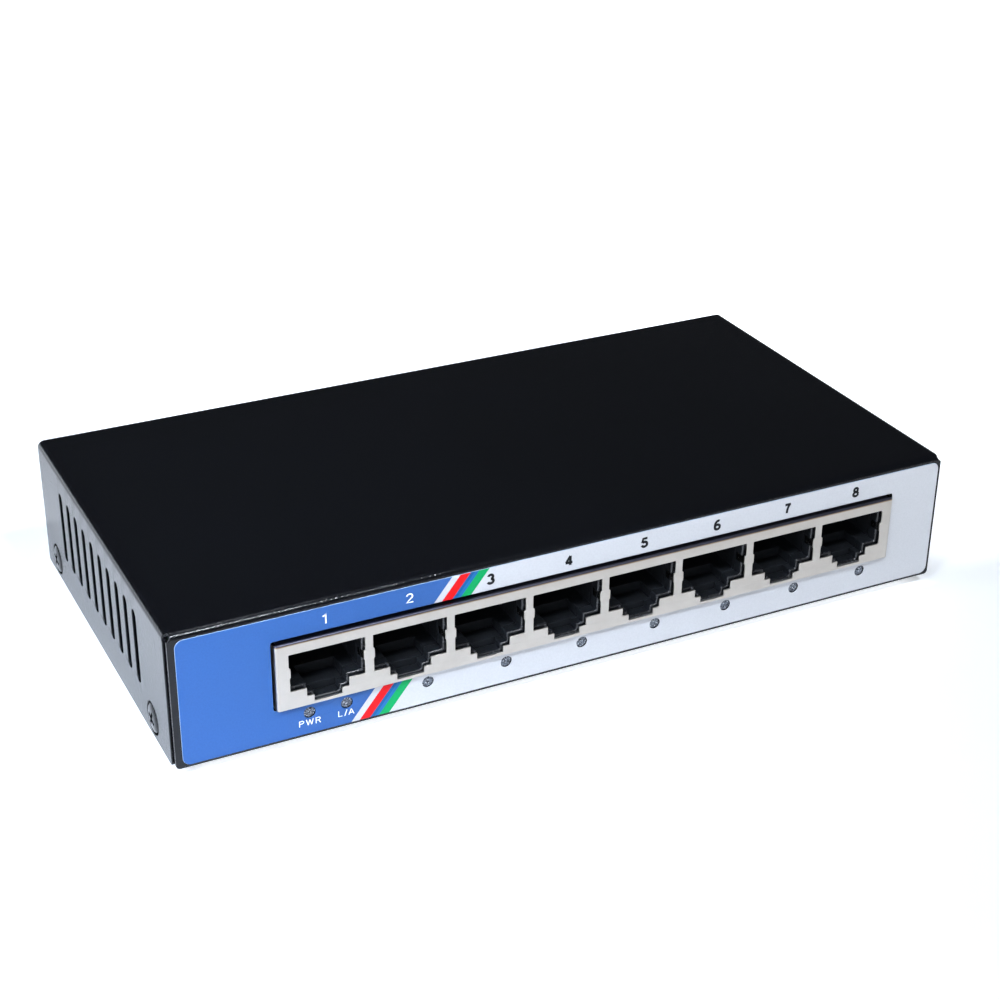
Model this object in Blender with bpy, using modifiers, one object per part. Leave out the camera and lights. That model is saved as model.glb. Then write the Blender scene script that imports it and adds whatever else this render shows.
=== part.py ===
"""Eight-port desktop network switch in a folded sheet-metal case.

Metres, +Z up. X runs along the front from left to right, the front faces -Y and
the origin is on the table under the middle of the object. Heights on the case
are measured from the cover's lower edge, CASE_Z above the table.
"""

import math

import bmesh
import bpy
from mathutils import Matrix, Vector

# Case
WIDTH = 0.142
DEPTH = 0.073
HEIGHT = 0.0238
SHEET = 0.0008
BEND_RADIUS = 0.0012
GAP = 0.0003
FOOT_HEIGHT = 0.0018
CASE_Z = FOOT_HEIGHT

# The jack shield stands this far in front of the front flange.
SHIELD_PROUD = 0.0010
FRONT = -(DEPTH - SHIELD_PROUD) / 2
BACK = FRONT + DEPTH

# Open corner between a front flange and a side flange
SEAM_INSET = 0.0003
SEAM_SETBACK = 0.0012
SEAM_TOP = 0.0228
RELIEF_RADIUS = 0.00075
FLANGE_CORNER_RADIUS = 0.0007

# Vent slots in each side flange
SLOT_COUNT = 10
SLOT_PITCH = 0.00476
SLOT_WIDTH = 0.0020
SLOT_LENGTH = 0.0131
SLOT_MIDDLE_Z = 0.01315
SLOT_REAR_Y = BACK - 0.0138

# Side screws
SCREW_Z = 0.0035
SCREW_FRONT_Y = FRONT + 0.0101
SCREW_REAR_Y = BACK - 0.0069
SCREW_HEAD_RADIUS = 0.0024
SCREW_HEAD_PROUD = 0.0003

# Sockets
PORTS = 8
PORT_PITCH = 0.01397
PORT_FIRST_X = -0.04595
PORT_HALF = 0.00632
PORT_TOP = 0.01615
PORT_FLOOR = 0.00955
PORT_NUB_TOP = 0.01380
PORT_NUB_BOTTOM = 0.01195
PORT_NUB_HALF = 0.00605
LATCH_UPPER_HALF = 0.00352
LATCH_UPPER_Z = 0.00806
LATCH_LOWER_HALF = 0.00233
LATCH_LOWER_Z = 0.00693

# Jack block
SHIELD_LEFT = -0.05441
SHIELD_RIGHT = 0.06023
SHIELD_BOTTOM = 0.0064
SHIELD_TOP = 0.01822
SHIELD_SHEET = 0.0003
SHIELD_DEPTH = 0.0215
WINDOW_SIDE_GAP = 0.00038
WINDOW_TOP = 0.01866
WINDOW_BOTTOM = 0.00618
SOCKET_DEPTH = 0.0135

# Indicators
LED_Z = 0.00442
LED_HOLE_RADIUS = 0.00095
LED_RADIUS = 0.00075
LED_OFFSET = 0.0033
LED_POWER_X = -0.0489
LED_BODY = Vector((0.0026, 0.0025, 0.0026))

# Front sticker
LABEL_LEFT = -0.06956
LABEL_RIGHT = 0.07046
LABEL_BOTTOM = 0.00045
LABEL_TOP = 0.02268
LABEL_RADIUS = 0.0013
LABEL_THICKNESS = 0.00015
LABEL_GAP = 0.00005

# Base tray
TRAY_HALF = WIDTH / 2 - SHEET - GAP
TRAY_BOTTOM = 0.0002
TRAY_FLANGE_TOP = 0.0072
TRAY_LIP_TOP = 0.0026
TRAY_REAR_TOP = HEIGHT - SHEET - GAP

# Circuit board
BOARD_BOTTOM = 0.0045
BOARD_TOP = 0.0061
BOARD_HALF = 0.0655
BOARD_FRONT = FRONT + 0.0042
BOARD_REAR = BACK - 0.0024
STANDOFF_X = 0.0585
STANDOFF_YS = (FRONT + 0.0265, BACK - 0.0075)

# Power inlet
INLET_X = -0.045
INLET_WIDTH = 0.009
INLET_HEIGHT = 0.011
INLET_LENGTH = 0.0135
INLET_BORE_RADIUS = 0.0032
INLET_BORE_DEPTH = 0.0098
INLET_PIN_RADIUS = 0.0010
INLET_AXIS_Z = 0.0128

LOCK_SLOT_X = 0.052
KEYHOLE_X = 0.040
FOOT_X = 0.0585
FOOT_YS = (FRONT + 0.0115, BACK - 0.0115)
FOOT_RADIUS = 0.0045

BLACK_COAT = (0.012, 0.013, 0.015)
PLATED = (0.62, 0.61, 0.59)
ZINC = (0.55, 0.56, 0.57)
BLACK_PLASTIC = (0.010, 0.010, 0.011)


def clear_scene():
    """Remove every object of the open scene."""
    for obj in list(bpy.data.objects):
        bpy.data.objects.remove(obj, do_unlink=True)


def make_collection(name, parent=None):
    """A new collection under the scene's collection or under another one."""
    coll = bpy.data.collections.new(name)
    (parent or bpy.context.scene.collection).children.link(coll)
    return coll


def material(name, colour, roughness, metallic=0.0):
    """A Principled BSDF material, made once for each name."""
    found = bpy.data.materials.get(name)
    if found:
        return found
    mat = bpy.data.materials.new(name)
    mat.use_nodes = True
    shader = mat.node_tree.nodes["Principled BSDF"]
    shader.inputs["Base Color"].default_value = (*colour, 1.0)
    shader.inputs["Roughness"].default_value = roughness
    shader.inputs["Metallic"].default_value = metallic
    mat.diffuse_color = (*colour, 1.0)
    return mat


def case_z(height):
    """Height above the table of a height on the case."""
    return CASE_Z + height


def port_x(index):
    """Middle of a socket, counted from 0 at the left."""
    return PORT_FIRST_X + index * PORT_PITCH


def add_object(name, mesh, coll, location=(0, 0, 0), mat=None):
    """Put a mesh into a collection as a new object."""
    obj = bpy.data.objects.new(name, mesh)
    obj.location = location
    coll.objects.link(obj)
    if mat:
        mesh.materials.append(mat)
    return obj


def mesh_from(bm, name):
    """Finish a bmesh as a mesh with outward normals."""
    bmesh.ops.recalc_face_normals(bm, faces=bm.faces)
    mesh = bpy.data.meshes.new(name)
    bm.to_mesh(mesh)
    bm.free()
    return mesh


def box(name, low, high, coll, mat=None):
    """A block between two corners, with its origin in its middle."""
    low, high = Vector(low), Vector(high)
    bm = bmesh.new()
    bmesh.ops.create_cube(bm, size=1.0)
    bmesh.ops.scale(bm, vec=high - low, verts=bm.verts)
    return add_object(name, mesh_from(bm, name), coll, (low + high) / 2, mat)


def cylinder(name, radius, length, centre, coll, mat=None, axis="Z", top_radius=None, sides=16):
    """A cylinder or cone along an axis; top_radius is at the axis's positive end."""
    top = radius if top_radius is None else top_radius
    bm = bmesh.new()
    bmesh.ops.create_cone(
        bm, cap_ends=True, segments=sides, radius1=radius, radius2=top, depth=length
    )
    turn = {"X": Matrix.Rotation(math.pi / 2, 3, "Y"), "Y": Matrix.Rotation(-math.pi / 2, 3, "X")}
    if axis in turn:
        bmesh.ops.rotate(bm, verts=bm.verts, matrix=turn[axis])
    return add_object(name, mesh_from(bm, name), coll, centre, mat)


def prism(name, outline, low, high, coll, mat=None, axis="Y"):
    """A flat outline filled and extruded from low to high along an axis.

    The outline's two numbers are (X, Z) for axis Y, (Y, Z) for axis X and
    (X, Y) for axis Z.
    """
    curve = bpy.data.curves.new(name, "CURVE")
    curve.dimensions = "2D"
    curve.fill_mode = "BOTH"
    curve.extrude = (high - low) / 2
    spline = curve.splines.new("POLY")
    spline.points.add(len(outline) - 1)
    for point, (a, b) in zip(spline.points, outline):
        point.co = (a, b, 0.0, 1.0)
    spline.use_cyclic_u = True
    guide = bpy.data.objects.new(name + "_outline", curve)
    coll.objects.link(guide)
    depsgraph = bpy.context.evaluated_depsgraph_get()
    mesh = bpy.data.meshes.new_from_object(guide.evaluated_get(depsgraph))
    bpy.data.objects.remove(guide, do_unlink=True)
    bpy.data.curves.remove(curve)
    middle = (low + high) / 2
    frames = {
        "X": Matrix(((0, 0, 1, middle), (1, 0, 0, 0), (0, 1, 0, 0), (0, 0, 0, 1))),
        "Y": Matrix(((1, 0, 0, 0), (0, 0, -1, middle), (0, 1, 0, 0), (0, 0, 0, 1))),
        "Z": Matrix(((1, 0, 0, 0), (0, 1, 0, 0), (0, 0, 1, middle), (0, 0, 0, 1))),
    }
    bm = bmesh.new()
    bm.from_mesh(mesh)
    bmesh.ops.remove_doubles(bm, verts=bm.verts, dist=1e-6)
    bmesh.ops.transform(bm, matrix=frames[axis], verts=bm.verts)
    bpy.data.meshes.remove(mesh)
    return add_object(name, mesh_from(bm, name), coll, (0, 0, 0), mat)


def arc(centre_a, centre_b, radius, start, end, steps):
    """Points of an arc in a plane, angles in degrees."""
    points = []
    for i in range(steps + 1):
        angle = math.radians(start + (end - start) * i / steps)
        point = (centre_a + radius * math.cos(angle), centre_b + radius * math.sin(angle))
        points.append(point)
    return points


def rounded_rectangle(left, bottom, right, top, radius, steps=4):
    """Outline of a rectangle with round corners."""
    inner = (left + radius, bottom + radius, right - radius, top - radius)
    return (
        arc(inner[2], inner[3], radius, 0, 90, steps)
        + arc(inner[0], inner[3], radius, 90, 180, steps)
        + arc(inner[0], inner[1], radius, 180, 270, steps)
        + arc(inner[2], inner[1], radius, 270, 360, steps)
    )


def obround(centre_a, centre_b, width, length, steps=6):
    """Outline of a slot that stands along the second axis."""
    radius, reach = width / 2, (length - width) / 2
    return arc(centre_a, centre_b + reach, radius, 0, 180, steps) + arc(
        centre_a, centre_b - reach, radius, 180, 360, steps
    )


def corner_outline(corner_a, corner_b, sign_a, sign_b, radius):
    """What is cut off a free sheet corner to round it.

    The sheet lies on the side of the corner that the two signs point to.
    """
    centre = (corner_a + sign_a * radius, corner_b + sign_b * radius)
    spare = 0.0005
    points = []
    for i in range(5):
        angle = math.radians(90 * i / 4)
        points.append(
            (
                centre[0] - sign_a * radius * math.cos(angle),
                centre[1] - sign_b * radius * math.sin(angle),
            )
        )
    points.append((centre[0], corner_b - sign_b * spare))
    points.append((corner_a - sign_a * spare, corner_b - sign_b * spare))
    points.append((corner_a - sign_a * spare, centre[1]))
    return points


def cut(obj, cutters):
    """Subtract every object of a collection."""
    mod = obj.modifiers.new("cut", "BOOLEAN")
    mod.operation = "DIFFERENCE"
    mod.operand_type = "COLLECTION"
    mod.collection = cutters
    mod.solver = "EXACT"
    hide_cutters(cutters)


def join_solids(obj, others, coll):
    """Union other solids into an object."""
    group = make_collection(obj.name + "_joined", coll)
    for other in others:
        for owner in other.users_collection:
            owner.objects.unlink(other)
        group.objects.link(other)
    mod = obj.modifiers.new("join", "BOOLEAN")
    mod.operation = "UNION"
    mod.operand_type = "COLLECTION"
    mod.collection = group
    mod.solver = "EXACT"
    hide_cutters(group)


def hide_cutters(coll):
    """Guides aren't part of the model."""
    for obj in coll.objects:
        obj.hide_render = True
        obj.display_type = "WIRE"


def bevel(obj, width, segments=2, angle=40):
    """Round the edges that are sharper than an angle."""
    mod = obj.modifiers.new("round", "BEVEL")
    mod.width = width
    mod.segments = segments
    mod.limit_method = "ANGLE"
    mod.angle_limit = math.radians(angle)


def smooth(obj, angle=35):
    """Shade round faces smooth and keep sharp edges."""
    obj.data.shade_smooth()
    obj.data.set_sharp_from_angle(angle=math.radians(angle))


def turned(name, profile, location, coll, mat, axis="Z", sides=20):
    """A solid of revolution from (radius, height) points, top to bottom."""
    bm = bmesh.new()
    verts = [bm.verts.new((r, 0.0, z)) for r, z in profile]
    for a, b in zip(verts, verts[1:]):
        bm.edges.new((a, b))
    mesh = bpy.data.meshes.new(name)
    bm.to_mesh(mesh)
    bm.free()
    obj = add_object(name, mesh, coll, location, mat)
    if axis == "+X":
        obj.rotation_euler = (0.0, math.pi / 2, 0.0)
    if axis == "-X":
        obj.rotation_euler = (0.0, -math.pi / 2, 0.0)
    screw = obj.modifiers.new("turn", "SCREW")
    screw.axis = "Z"
    screw.steps = sides
    screw.render_steps = sides
    screw.use_merge_vertices = True
    screw.merge_threshold = 0.00001
    screw.use_smooth_shade = True
    return obj


def bent_sheet(name, low, high, open_faces, bent_sides, coll, mat):
    """A box-shaped sheet without its open faces, bent along one face's edges.

    open_faces holds the outward normals of the faces left out. bent_sides holds
    the pairs of normals whose shared edge is rounded.
    """
    low, high = Vector(low), Vector(high)
    bm = bmesh.new()
    bmesh.ops.create_cube(bm, size=1.0)
    bmesh.ops.scale(bm, vec=high - low, verts=bm.verts)
    bmesh.ops.translate(bm, vec=(low + high) / 2, verts=bm.verts)
    bmesh.ops.recalc_face_normals(bm, faces=bm.faces)
    left_out = [f for f in bm.faces if any((f.normal - Vector(n)).length < 0.01 for n in open_faces)]
    bmesh.ops.delete(bm, geom=left_out, context="FACES")
    rounded = []
    for edge in bm.edges:
        normals = [f.normal for f in edge.link_faces]
        for first, second in bent_sides:
            hit = [n for n in normals if (n - Vector(first)).length < 0.01]
            other = [n for n in normals if (n - Vector(second)).length < 0.01]
            if hit and other:
                rounded.append(edge)
    bmesh.ops.bevel(
        bm, geom=rounded, offset=BEND_RADIUS, segments=4, profile=0.5, affect="EDGES", clamp_overlap=True
    )
    mesh = bpy.data.meshes.new(name)
    bm.to_mesh(mesh)
    bm.free()
    obj = add_object(name, mesh, coll, (0, 0, 0), mat)
    shell = obj.modifiers.new("sheet", "SOLIDIFY")
    shell.thickness = SHEET
    shell.offset = -1.0
    shell.use_even_offset = True
    return obj


def seam_outline(side, face_y, inward):
    """Plan of the open corner at one side: an L round the side flange's end.

    inward is +1 where the flange lies behind the face and -1 where it lies in
    front of it.
    """
    outer = side * (WIDTH / 2 + 0.001)
    edge = side * (WIDTH / 2 - SEAM_INSET)
    inner = side * (WIDTH / 2 - SHEET - 0.0004)
    before = face_y - inward * 0.001
    behind_front = face_y + inward * (SHEET - 0.00001)
    side_end = face_y + inward * SEAM_SETBACK
    return [
        (outer, before),
        (edge, before),
        (edge, behind_front),
        (inner, behind_front),
        (inner, side_end),
        (outer, side_end),
    ]


def socket_outline(index, side_gap=0.0, with_nubs=True):
    """Stepped opening of one socket, latch side down."""
    half = PORT_HALF - side_gap
    right = [(half, PORT_TOP - side_gap)]
    if with_nubs:
        right += [
            (half, PORT_NUB_TOP),
            (PORT_NUB_HALF, PORT_NUB_TOP),
            (PORT_NUB_HALF, PORT_NUB_BOTTOM),
            (half - 0.0001, PORT_NUB_BOTTOM),
        ]
    right += [
        (half - 0.0001, PORT_FLOOR + side_gap),
        (LATCH_UPPER_HALF - side_gap / 2, PORT_FLOOR + side_gap),
        (LATCH_UPPER_HALF - side_gap / 2, LATCH_UPPER_Z + side_gap / 2),
        (LATCH_LOWER_HALF - side_gap / 2, LATCH_UPPER_Z + side_gap / 2),
        (LATCH_LOWER_HALF - side_gap / 2, LATCH_LOWER_Z + side_gap / 2),
    ]
    left = [(-x, z) for x, z in reversed(right)]
    return [(port_x(index) + x, case_z(z)) for x, z in right + left]


def led_places():
    """Name and X of every indicator."""
    places = [("led_power", LED_POWER_X)]
    for i in range(PORTS):
        places.append((f"led_port_{i + 1}", port_x(i) + LED_OFFSET))
    return places


def screw_places():
    """Name, side and Y of the four side screws."""
    return [
        ("side_screw_lf", -1, SCREW_FRONT_Y),
        ("side_screw_lr", -1, SCREW_REAR_Y),
        ("side_screw_rf", 1, SCREW_FRONT_Y),
        ("side_screw_rr", 1, SCREW_REAR_Y),
    ]


def corner_places():
    """Name endings and signs of the four corners of the base."""
    return [("lf", -1, 0), ("rf", 1, 0), ("lr", -1, 1), ("rr", 1, 1)]


def vent_slot_cutters(coll):
    """Ten slots through both side flanges."""
    for side in (-1, 1):
        outer = side * (WIDTH / 2 + 0.001)
        inner = side * (WIDTH / 2 - 0.002)
        for i in range(SLOT_COUNT):
            y = SLOT_REAR_Y - i * SLOT_PITCH
            outline = obround(y, case_z(SLOT_MIDDLE_Z), SLOT_WIDTH, SLOT_LENGTH)
            prism(f"vent_{side}_{i}", outline, min(outer, inner), max(outer, inner), coll, axis="X")


def cover_cutters(coll):
    """Window, indicator holes, screw holes, seams, reliefs and round corners of the cover."""
    low, high = FRONT - 0.001, FRONT + 0.0019
    window = rounded_rectangle(
        SHIELD_LEFT - WINDOW_SIDE_GAP,
        case_z(WINDOW_BOTTOM),
        SHIELD_RIGHT + WINDOW_SIDE_GAP,
        case_z(WINDOW_TOP),
        0.0004,
        2,
    )
    prism("jack_window", window, low, high, coll)
    for name, x in led_places():
        centre = (x, (low + high) / 2, case_z(LED_Z))
        cylinder(name + "_hole", LED_HOLE_RADIUS, high - low, centre, coll, axis="Y")
    for name, side, y in screw_places():
        centre = (side * (WIDTH / 2 - SHEET / 2), y, case_z(SCREW_Z))
        wide, narrow = SCREW_HEAD_RADIUS + 0.00045, 0.0013
        ends = (narrow, wide) if side > 0 else (wide, narrow)
        cylinder(name + "_seat", ends[0], SHEET + 0.0004, centre, coll, axis="X", top_radius=ends[1])
    for side in (-1, 1):
        outline = seam_outline(side, FRONT, 1)
        prism(f"seam_{side}", outline, case_z(-0.001), case_z(SEAM_TOP), coll, axis="Z")
        hole = cylinder(
            f"relief_{side}",
            RELIEF_RADIUS,
            0.004,
            (side * (WIDTH / 2 - 0.00055), FRONT + 0.0006, case_z(HEIGHT - 0.0009)),
            coll,
            sides=12,
        )
        hole.rotation_euler = (math.radians(50), 0.0, math.radians(45 * side))
        lower = corner_outline(
            side * (WIDTH / 2 - SEAM_INSET), case_z(0), -side, 1, FLANGE_CORNER_RADIUS
        )
        prism(f"front_corner_{side}", lower, FRONT - 0.0005, FRONT + SHEET + 0.00015, coll)
        inner, outer = sorted((side * (WIDTH / 2 - 0.0012), side * (WIDTH / 2 + 0.001)))
        for end, sign in ((FRONT + SEAM_SETBACK, 1), (BACK, -1)):
            lower = corner_outline(end, case_z(0), sign, 1, FLANGE_CORNER_RADIUS)
            prism(f"side_corner_{side}_{sign}", lower, inner, outer, coll, axis="X")


def make_cover(parts, guides):
    """Top, front flange and side flanges folded from one sheet."""
    coat = material("black_powder_coat", BLACK_COAT, 0.42)
    cover = bent_sheet(
        "cover",
        (-WIDTH / 2, FRONT, case_z(0)),
        (WIDTH / 2, BACK, case_z(HEIGHT)),
        [(0, 0, -1), (0, 1, 0)],
        [((0, 0, 1), (0, -1, 0)), ((0, 0, 1), (-1, 0, 0)), ((0, 0, 1), (1, 0, 0))],
        parts,
        coat,
    )
    cutters = make_collection("cover_cutters", guides)
    vent_slot_cutters(cutters)
    cover_cutters(cutters)
    cut(cover, cutters)
    smooth(cover)


def keyhole_outline(x, y):
    """Wall-mounting keyhole: a round entry and a narrow neck towards the rear."""
    head, neck = 0.0035, 0.0018
    start = math.degrees(math.acos(neck / head))
    entry = arc(x, y, head, 180 - start, 360 + start, 10)
    end = arc(x, y + 0.0085, neck, 0, 180, 5)
    return entry + end


def tray_cutters(coll):
    """What is cut away from the tray's box shape, and its holes."""
    wide = WIDTH / 2 + 0.002
    rear_inner = BACK - SHEET - 0.0004
    box(
        "above_flanges",
        (-wide, FRONT - 0.002, case_z(TRAY_FLANGE_TOP)),
        (wide, rear_inner, case_z(HEIGHT + 0.002)),
        coll,
    )
    box(
        "above_lip",
        (-wide, FRONT - 0.002, case_z(TRAY_LIP_TOP)),
        (wide, FRONT + SHEET + GAP + SHEET + 0.0006, case_z(TRAY_FLANGE_TOP + 0.0001)),
        coll,
    )
    for side in (-1, 1):
        outer = side * (TRAY_HALF + 0.001)
        edge = side * (TRAY_HALF - SEAM_INSET - SHEET)
        seam = [
            (outer, rear_inner - 0.00001),
            (outer, BACK - SHEET - 0.00001),
            (edge, BACK - SHEET - 0.00001),
            (edge, rear_inner - 0.00001),
        ]
        prism(f"rear_seam_{side}", seam, case_z(0.0016), case_z(HEIGHT), coll, axis="Z")
        keyhole = keyhole_outline(side * KEYHOLE_X, (FRONT + BACK) / 2)
        prism(f"keyhole_{side}", keyhole, case_z(-0.001), case_z(0.002), coll, axis="Z")
    for name, side, y in screw_places():
        centre = (side * (TRAY_HALF - SHEET / 2), y, case_z(SCREW_Z))
        cylinder(name + "_thread", 0.0012, 0.002, centre, coll, axis="X", sides=12)
    half = INLET_WIDTH / 2 + GAP
    middle = case_z(BOARD_TOP + 0.0003 + INLET_HEIGHT / 2)
    tall = INLET_HEIGHT / 2 + GAP
    inlet = rounded_rectangle(
        INLET_X - half, middle - tall, INLET_X + half, middle + tall, 0.0006, 2
    )
    prism("inlet_window", inlet, rear_inner - 0.001, BACK + 0.001, coll)
    slot = rounded_rectangle(
        LOCK_SLOT_X - 0.0035, case_z(0.0105), LOCK_SLOT_X + 0.0035, case_z(0.0135), 0.0012, 3
    )
    prism("lock_slot", slot, rear_inner - 0.001, BACK + 0.001, coll)


def make_tray(parts, guides):
    """Bottom, rear panel, side flanges and front lip folded from one sheet."""
    coat = material("black_powder_coat", BLACK_COAT, 0.42)
    tray = bent_sheet(
        "base_tray",
        (-TRAY_HALF, FRONT + SHEET + GAP, case_z(TRAY_BOTTOM)),
        (TRAY_HALF, BACK, case_z(TRAY_REAR_TOP)),
        [(0, 0, 1)],
        [
            ((0, 0, -1), (0, -1, 0)),
            ((0, 0, -1), (0, 1, 0)),
            ((0, 0, -1), (-1, 0, 0)),
            ((0, 0, -1), (1, 0, 0)),
        ],
        parts,
        coat,
    )
    cutters = make_collection("tray_cutters", guides)
    tray_cutters(cutters)
    cut(tray, cutters)
    smooth(tray)


def make_label(parts, guides):
    """Printed sticker on the front flange, cut out round the jack block and the indicators."""
    print_mat = material("printed_label", (0.30, 0.42, 0.80), 0.40)
    outer = FRONT - LABEL_GAP - LABEL_THICKNESS
    inner = FRONT - LABEL_GAP
    outline = rounded_rectangle(
        LABEL_LEFT, case_z(LABEL_BOTTOM), LABEL_RIGHT, case_z(LABEL_TOP), LABEL_RADIUS
    )
    label = prism("front_label", outline, outer, inner, parts, print_mat)
    cutters = make_collection("label_cutters", guides)
    window = rounded_rectangle(
        SHIELD_LEFT - WINDOW_SIDE_GAP,
        case_z(WINDOW_BOTTOM),
        SHIELD_RIGHT + WINDOW_SIDE_GAP,
        case_z(WINDOW_TOP),
        0.0004,
        2,
    )
    prism("label_window", window, outer - 0.001, inner + 0.001, cutters)
    for name, x in led_places():
        centre = (x, (outer + inner) / 2, case_z(LED_Z))
        cylinder(name + "_label_hole", LED_HOLE_RADIUS, 0.002, centre, cutters, axis="Y")
    cut(label, cutters)


def make_shield(parts, guides):
    """Plated steel shell round the jack block, open underneath."""
    plated = material("plated_steel", PLATED, 0.30, 1.0)
    low = Vector((SHIELD_LEFT, FRONT - SHIELD_PROUD, case_z(SHIELD_BOTTOM)))
    high = Vector((SHIELD_RIGHT, FRONT - SHIELD_PROUD + SHIELD_DEPTH, case_z(SHIELD_TOP)))
    bm = bmesh.new()
    bmesh.ops.create_cube(bm, size=1.0)
    bmesh.ops.scale(bm, vec=high - low, verts=bm.verts)
    bmesh.ops.recalc_face_normals(bm, faces=bm.faces)
    open_face = [f for f in bm.faces if f.normal.z < -0.9]
    bmesh.ops.delete(bm, geom=open_face, context="FACES")
    folds = [e for e in bm.edges if len(e.link_faces) == 2]
    bmesh.ops.bevel(bm, geom=folds, offset=0.0004, segments=2, profile=0.5, affect="EDGES")
    mesh = bpy.data.meshes.new("jack_shield")
    bm.to_mesh(mesh)
    bm.free()
    shield = add_object("jack_shield", mesh, parts, (low + high) / 2, plated)
    shell = shield.modifiers.new("sheet", "SOLIDIFY")
    shell.thickness = SHIELD_SHEET
    shell.offset = -1.0
    shell.use_even_offset = True
    cutters = make_collection("shield_cutters", guides)
    for i in range(PORTS):
        front = FRONT - SHIELD_PROUD
        prism(f"opening_{i}", socket_outline(i), front - 0.001, front + 0.001, cutters)
    cut(shield, cutters)
    smooth(shield)


def make_housing(parts, guides):
    """Black body of the jack block, with eight stepped sockets."""
    plastic = material("jack_plastic", BLACK_PLASTIC, 0.45)
    margin = SHIELD_SHEET + 0.00015
    front = FRONT - SHIELD_PROUD + margin
    rear = FRONT - SHIELD_PROUD + SHIELD_DEPTH - margin
    housing = box(
        "jack_housing",
        (SHIELD_LEFT + margin, front, case_z(SHIELD_BOTTOM)),
        (SHIELD_RIGHT - margin, rear, case_z(SHIELD_TOP) - margin),
        parts,
        plastic,
    )
    cutters = make_collection("housing_cutters", guides)
    socket_rear = FRONT - SHIELD_PROUD + SOCKET_DEPTH
    for i in range(PORTS):
        outline = socket_outline(i, side_gap=0.00012, with_nubs=False)
        prism(f"socket_{i}", outline, front - 0.001, socket_rear, cutters)
    cut(housing, cutters)


def make_contacts(parts, guides):
    """Eight sprung wires on a common carrier at the top of every socket."""
    gold = material("contact_gold", (0.72, 0.52, 0.22), 0.25, 1.0)
    wires, wire_pitch, wire_width = 8, 0.00102, 0.00040
    bar_front, bar_rear = FRONT + 0.0022, FRONT + 0.0034
    bar_top = case_z(PORT_TOP - 0.00045)
    wire_end_y, wire_end_z = FRONT + 0.0116, case_z(0.01435)
    for i in range(PORTS):
        name = f"contact_insert_{i + 1}"
        half = wire_pitch * (wires - 1) / 2 + 0.0006
        bar = box(
            name,
            (port_x(i) - half, bar_front, bar_top - 0.0004),
            (port_x(i) + half, bar_rear, bar_top),
            parts,
            gold,
        )
        profile = [
            (bar_front + 0.0002, bar_top - 0.00005),
            (bar_front + 0.0002, bar_top - 0.00035),
            (wire_end_y - 0.0002, wire_end_z - 0.0002),
            (wire_end_y, wire_end_z + 0.0001),
            (bar_rear + 0.0004, bar_top - 0.00005),
        ]
        made = []
        for k in range(wires):
            x = port_x(i) + (k - (wires - 1) / 2) * wire_pitch
            side = (x - wire_width / 2, x + wire_width / 2)
            made.append(prism(f"{name}_wire_{k}", profile, side[0], side[1], guides, axis="X"))
        join_solids(bar, made, guides)


def make_leds(parts, guides):
    """Right-angle indicators whose lenses reach through the front flange."""
    clear = material("led_lens", (0.55, 0.60, 0.66), 0.20)
    body_front = FRONT + SHEET + 0.0005
    for name, x in led_places():
        low = (x - LED_BODY.x / 2, body_front, case_z(LED_Z) - LED_BODY.z / 2)
        high = (
            x + LED_BODY.x / 2,
            body_front + LED_BODY.y,
            case_z(LED_Z) + LED_BODY.z / 2 + 0.0002,
        )
        body = box(name, low, high, parts, clear)
        lens_front = FRONT - LABEL_GAP
        length = body_front - lens_front + 0.0003
        centre = (x, lens_front + length / 2, case_z(LED_Z))
        lens = cylinder(name + "_lens", LED_RADIUS, length, centre, guides, axis="Y", sides=14)
        join_solids(body, [lens], guides)


def cross_recess(name, centre, axis_sign, coll, size=0.0026):
    """Cross recess of a screw head that faces along X."""
    depth, blade = 0.0007, 0.0006
    x = centre.x + axis_sign * (0.0004 - depth)
    low_x, high_x = sorted((x, x + axis_sign * 0.002))
    half, thin = size / 2, blade / 2
    outline = [
        (half, thin), (thin, thin), (thin, half), (-thin, half), (-thin, thin), (-half, thin),
        (-half, -thin), (-thin, -thin), (-thin, -half), (thin, -half), (thin, -thin), (half, -thin),
    ]
    turned_outline = []
    turn = math.radians(25)
    for a, b in outline:
        ra = a * math.cos(turn) - b * math.sin(turn)
        rb = a * math.sin(turn) + b * math.cos(turn)
        turned_outline.append((centre.y + ra, centre.z + rb))
    prism(name + "_cross", turned_outline, low_x, high_x, coll, axis="X")


def make_side_screws(parts, guides):
    """Low-head cross-recess screws that hold the cover to the tray."""
    steel = material("black_screw", (0.30, 0.31, 0.32), 0.35, 1.0)
    shank = 0.0009
    for name, side, y in screw_places():
        top = SCREW_HEAD_PROUD
        profile = [
            (0.0, top),
            (0.0012, top - 0.00003),
            (0.0020, top - 0.00013),
            (SCREW_HEAD_RADIUS, 0.00002),
            (SCREW_HEAD_RADIUS, -0.00010),
            (shank, -0.0011),
            (shank, -0.0042),
            (shank * 0.6, -0.0046),
            (0.0, -0.0046),
        ]
        place = Vector((side * WIDTH / 2, y, case_z(SCREW_Z)))
        screw = turned(name, profile, place, parts, steel, "+X" if side > 0 else "-X")
        cutters = make_collection(name + "_cutters", guides)
        cross_recess(name, place, side, cutters)
        cut(screw, cutters)


def make_feet(parts):
    """Stick-on rubber feet under the tray."""
    rubber = material("foot_rubber", (0.020, 0.020, 0.021), 0.80)
    top = case_z(TRAY_BOTTOM) - 0.0001
    profile = [
        (0.0, top),
        (FOOT_RADIUS, top),
        (FOOT_RADIUS - 0.0003, 0.0004),
        (FOOT_RADIUS - 0.0008, 0.0),
        (0.0, 0.0),
    ]
    for ending, side, row in corner_places():
        place = (side * FOOT_X, FOOT_YS[row], 0.0)
        turned(f"foot_{ending}", profile, place, parts, rubber)


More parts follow.
